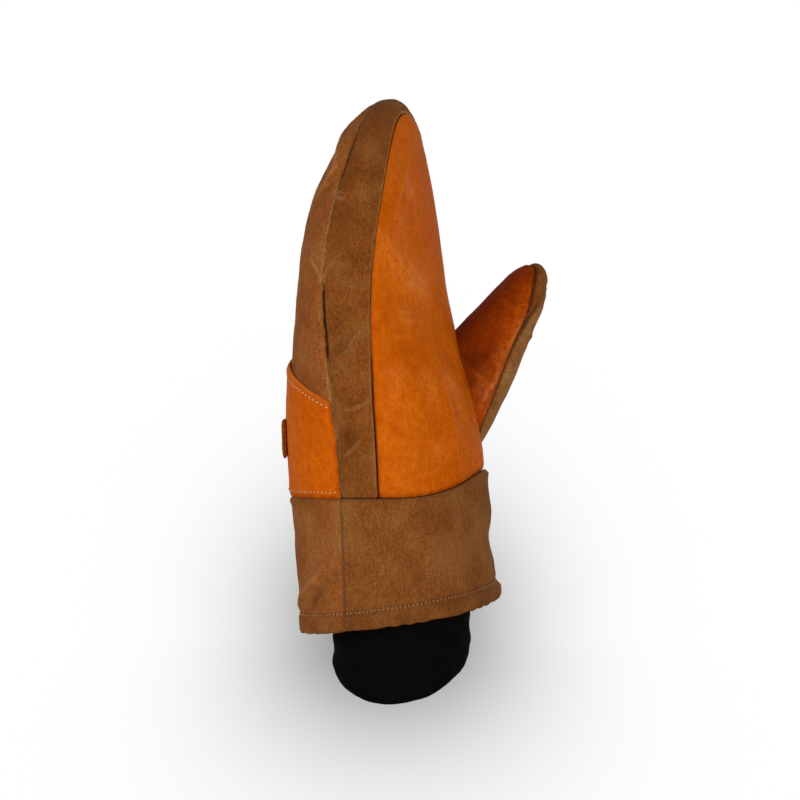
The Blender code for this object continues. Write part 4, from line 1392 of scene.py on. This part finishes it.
# light, floor and backdrop
studio = {
    "above": 0.07,  # light from the sky overhead and from the ground, as seen by the mitten
    "below": 0.26,
    "key": {"azimuth": 246, "elevation": 4, "distance": 1.2, "size": 0.75, "power": 11.2},
    "fill": {"azimuth": 318, "elevation": 1, "distance": 1.3, "size": 0.7, "power": 16.8},
    "aimDrop": 0.03,  # how far below the camera's aim the lights point
    "backdrop": 0.25,  # how far behind the mitten it stands
    # the painted shadow on the paper: how dark, how far it reaches, and where its middle is
    "shade": {"share": 0.79, "reach": 0.0752, "across": -0.0047, "height": -0.0023, "depth": 0.185},
}


def makeLight(name, plan):
    data = bpy.data.lights.new(name, "AREA")
    data.energy, data.size = plan["power"], plan["size"]
    light = addObject(name, data)
    away = towards(plan["azimuth"], plan["elevation"])
    light.location = Vector((0, 0, cameraView["aimHeight"] - studio["aimDrop"])) + away * plan["distance"]
    light.rotation_euler = away.to_track_quat("Z", "Y").to_euler()


def makeSky():
    world = bpy.context.scene.world or bpy.data.worlds.new("studio")
    bpy.context.scene.world = world
    world.use_nodes = True
    tree = world.node_tree
    height = put(tree, "SeparateXYZ", {0: put(tree, "TexCoord").outputs["Generated"]}).outputs[2]
    ambient = ramp(tree, height, -1.0, 1.0, studio["below"], studio["above"])
    seen = put(tree, "LightPath").outputs["Is Camera Ray"]
    strength = put(tree, "Mix", {0: seen, 2: ambient, 3: 1.0}, data_type="FLOAT").outputs[0]
    tree.nodes["Background"].inputs["Color"].default_value = (1, 1, 1, 1)
    tree.links.new(strength, tree.nodes["Background"].inputs["Strength"])
    bpy.context.scene.view_settings.view_transform = "Standard"


def makePaper(name):
    # white paper that glows for the camera, with a painted soft grey shadow round the foot of the mitten,
    # plain diffuse paper to the light, and clear from behind
    material = bpy.data.materials.new(name)
    material.use_nodes = True
    tree, plan = material.node_tree, studio["shade"]
    tree.nodes.remove(tree.nodes["Principled BSDF"])
    place = objectPlace(tree)
    level = towards(cameraView["azimuth"], 0)
    ways = ((-level.y, level.x, 0, plan["across"], 1.0),
            (-level.x, -level.y, 0, studio["backdrop"], plan["depth"]), (0, 0, 1, plan["height"], 1.0))
    total = 0.0
    for x, y, z, start, share in ways:
        run = put(tree, "VectorMath", {0: place, 1: (x, y, z)}, operation="DOT_PRODUCT").outputs["Value"]
        away = times(tree, calc(tree, "SUBTRACT", run, start), share)
        total = calc(tree, "MULTIPLY_ADD", away, away, total)
    fade = calc(tree, "EXPONENT", times(tree, total, -1 / plan["reach"] ** 2))
    tone = calc(tree, "MULTIPLY_ADD", fade, -plan["share"], 1.0)
    glow = put(tree, "Emission", {"Color": (1, 1, 1, 1), "Strength": tone})
    paper = put(tree, "BsdfDiffuse", {"Color": (0.8, 0.8, 0.8, 1)})
    seen = put(tree, "LightPath").outputs["Is Camera Ray"]
    behind = put(tree, "NewGeometry").outputs["Backfacing"]
    shown = put(tree, "MixShader", {0: seen, 1: paper.outputs[0], 2: glow.outputs[0]})
    clear = put(tree, "BsdfTransparent").outputs[0]
    final = put(tree, "MixShader", {0: behind, 1: shown.outputs[0], 2: clear})
    tree.links.new(final.outputs[0], tree.nodes["Material Output"].inputs["Surface"])
    return material


def makeScreens():
    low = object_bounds()[0]
    paper = makePaper("whitePaper")
    level = towards(cameraView["azimuth"], 0)
    upright = level.to_track_quat("Z", "Y").to_matrix().to_4x4()
    places = (("studioFloor", Matrix.Translation((0, 0, low.z - 0.002))),
              ("studioBackdrop", Matrix.Translation(-level * studio["backdrop"]) @ upright))
    for name, place in places:
        bm = bmesh.new()
        bmesh.ops.create_grid(bm, x_segments=1, y_segments=1, size=3.0, matrix=place)
        mesh = bpy.data.meshes.new(name)
        bm.to_mesh(mesh)
        bm.free()
        mesh.materials.append(paper)
        addObject(name, mesh)


makeSky()
makeLight("keyLight", studio["key"])
makeLight("fillLight", studio["fill"])
makeScreens()
print("studio lit")
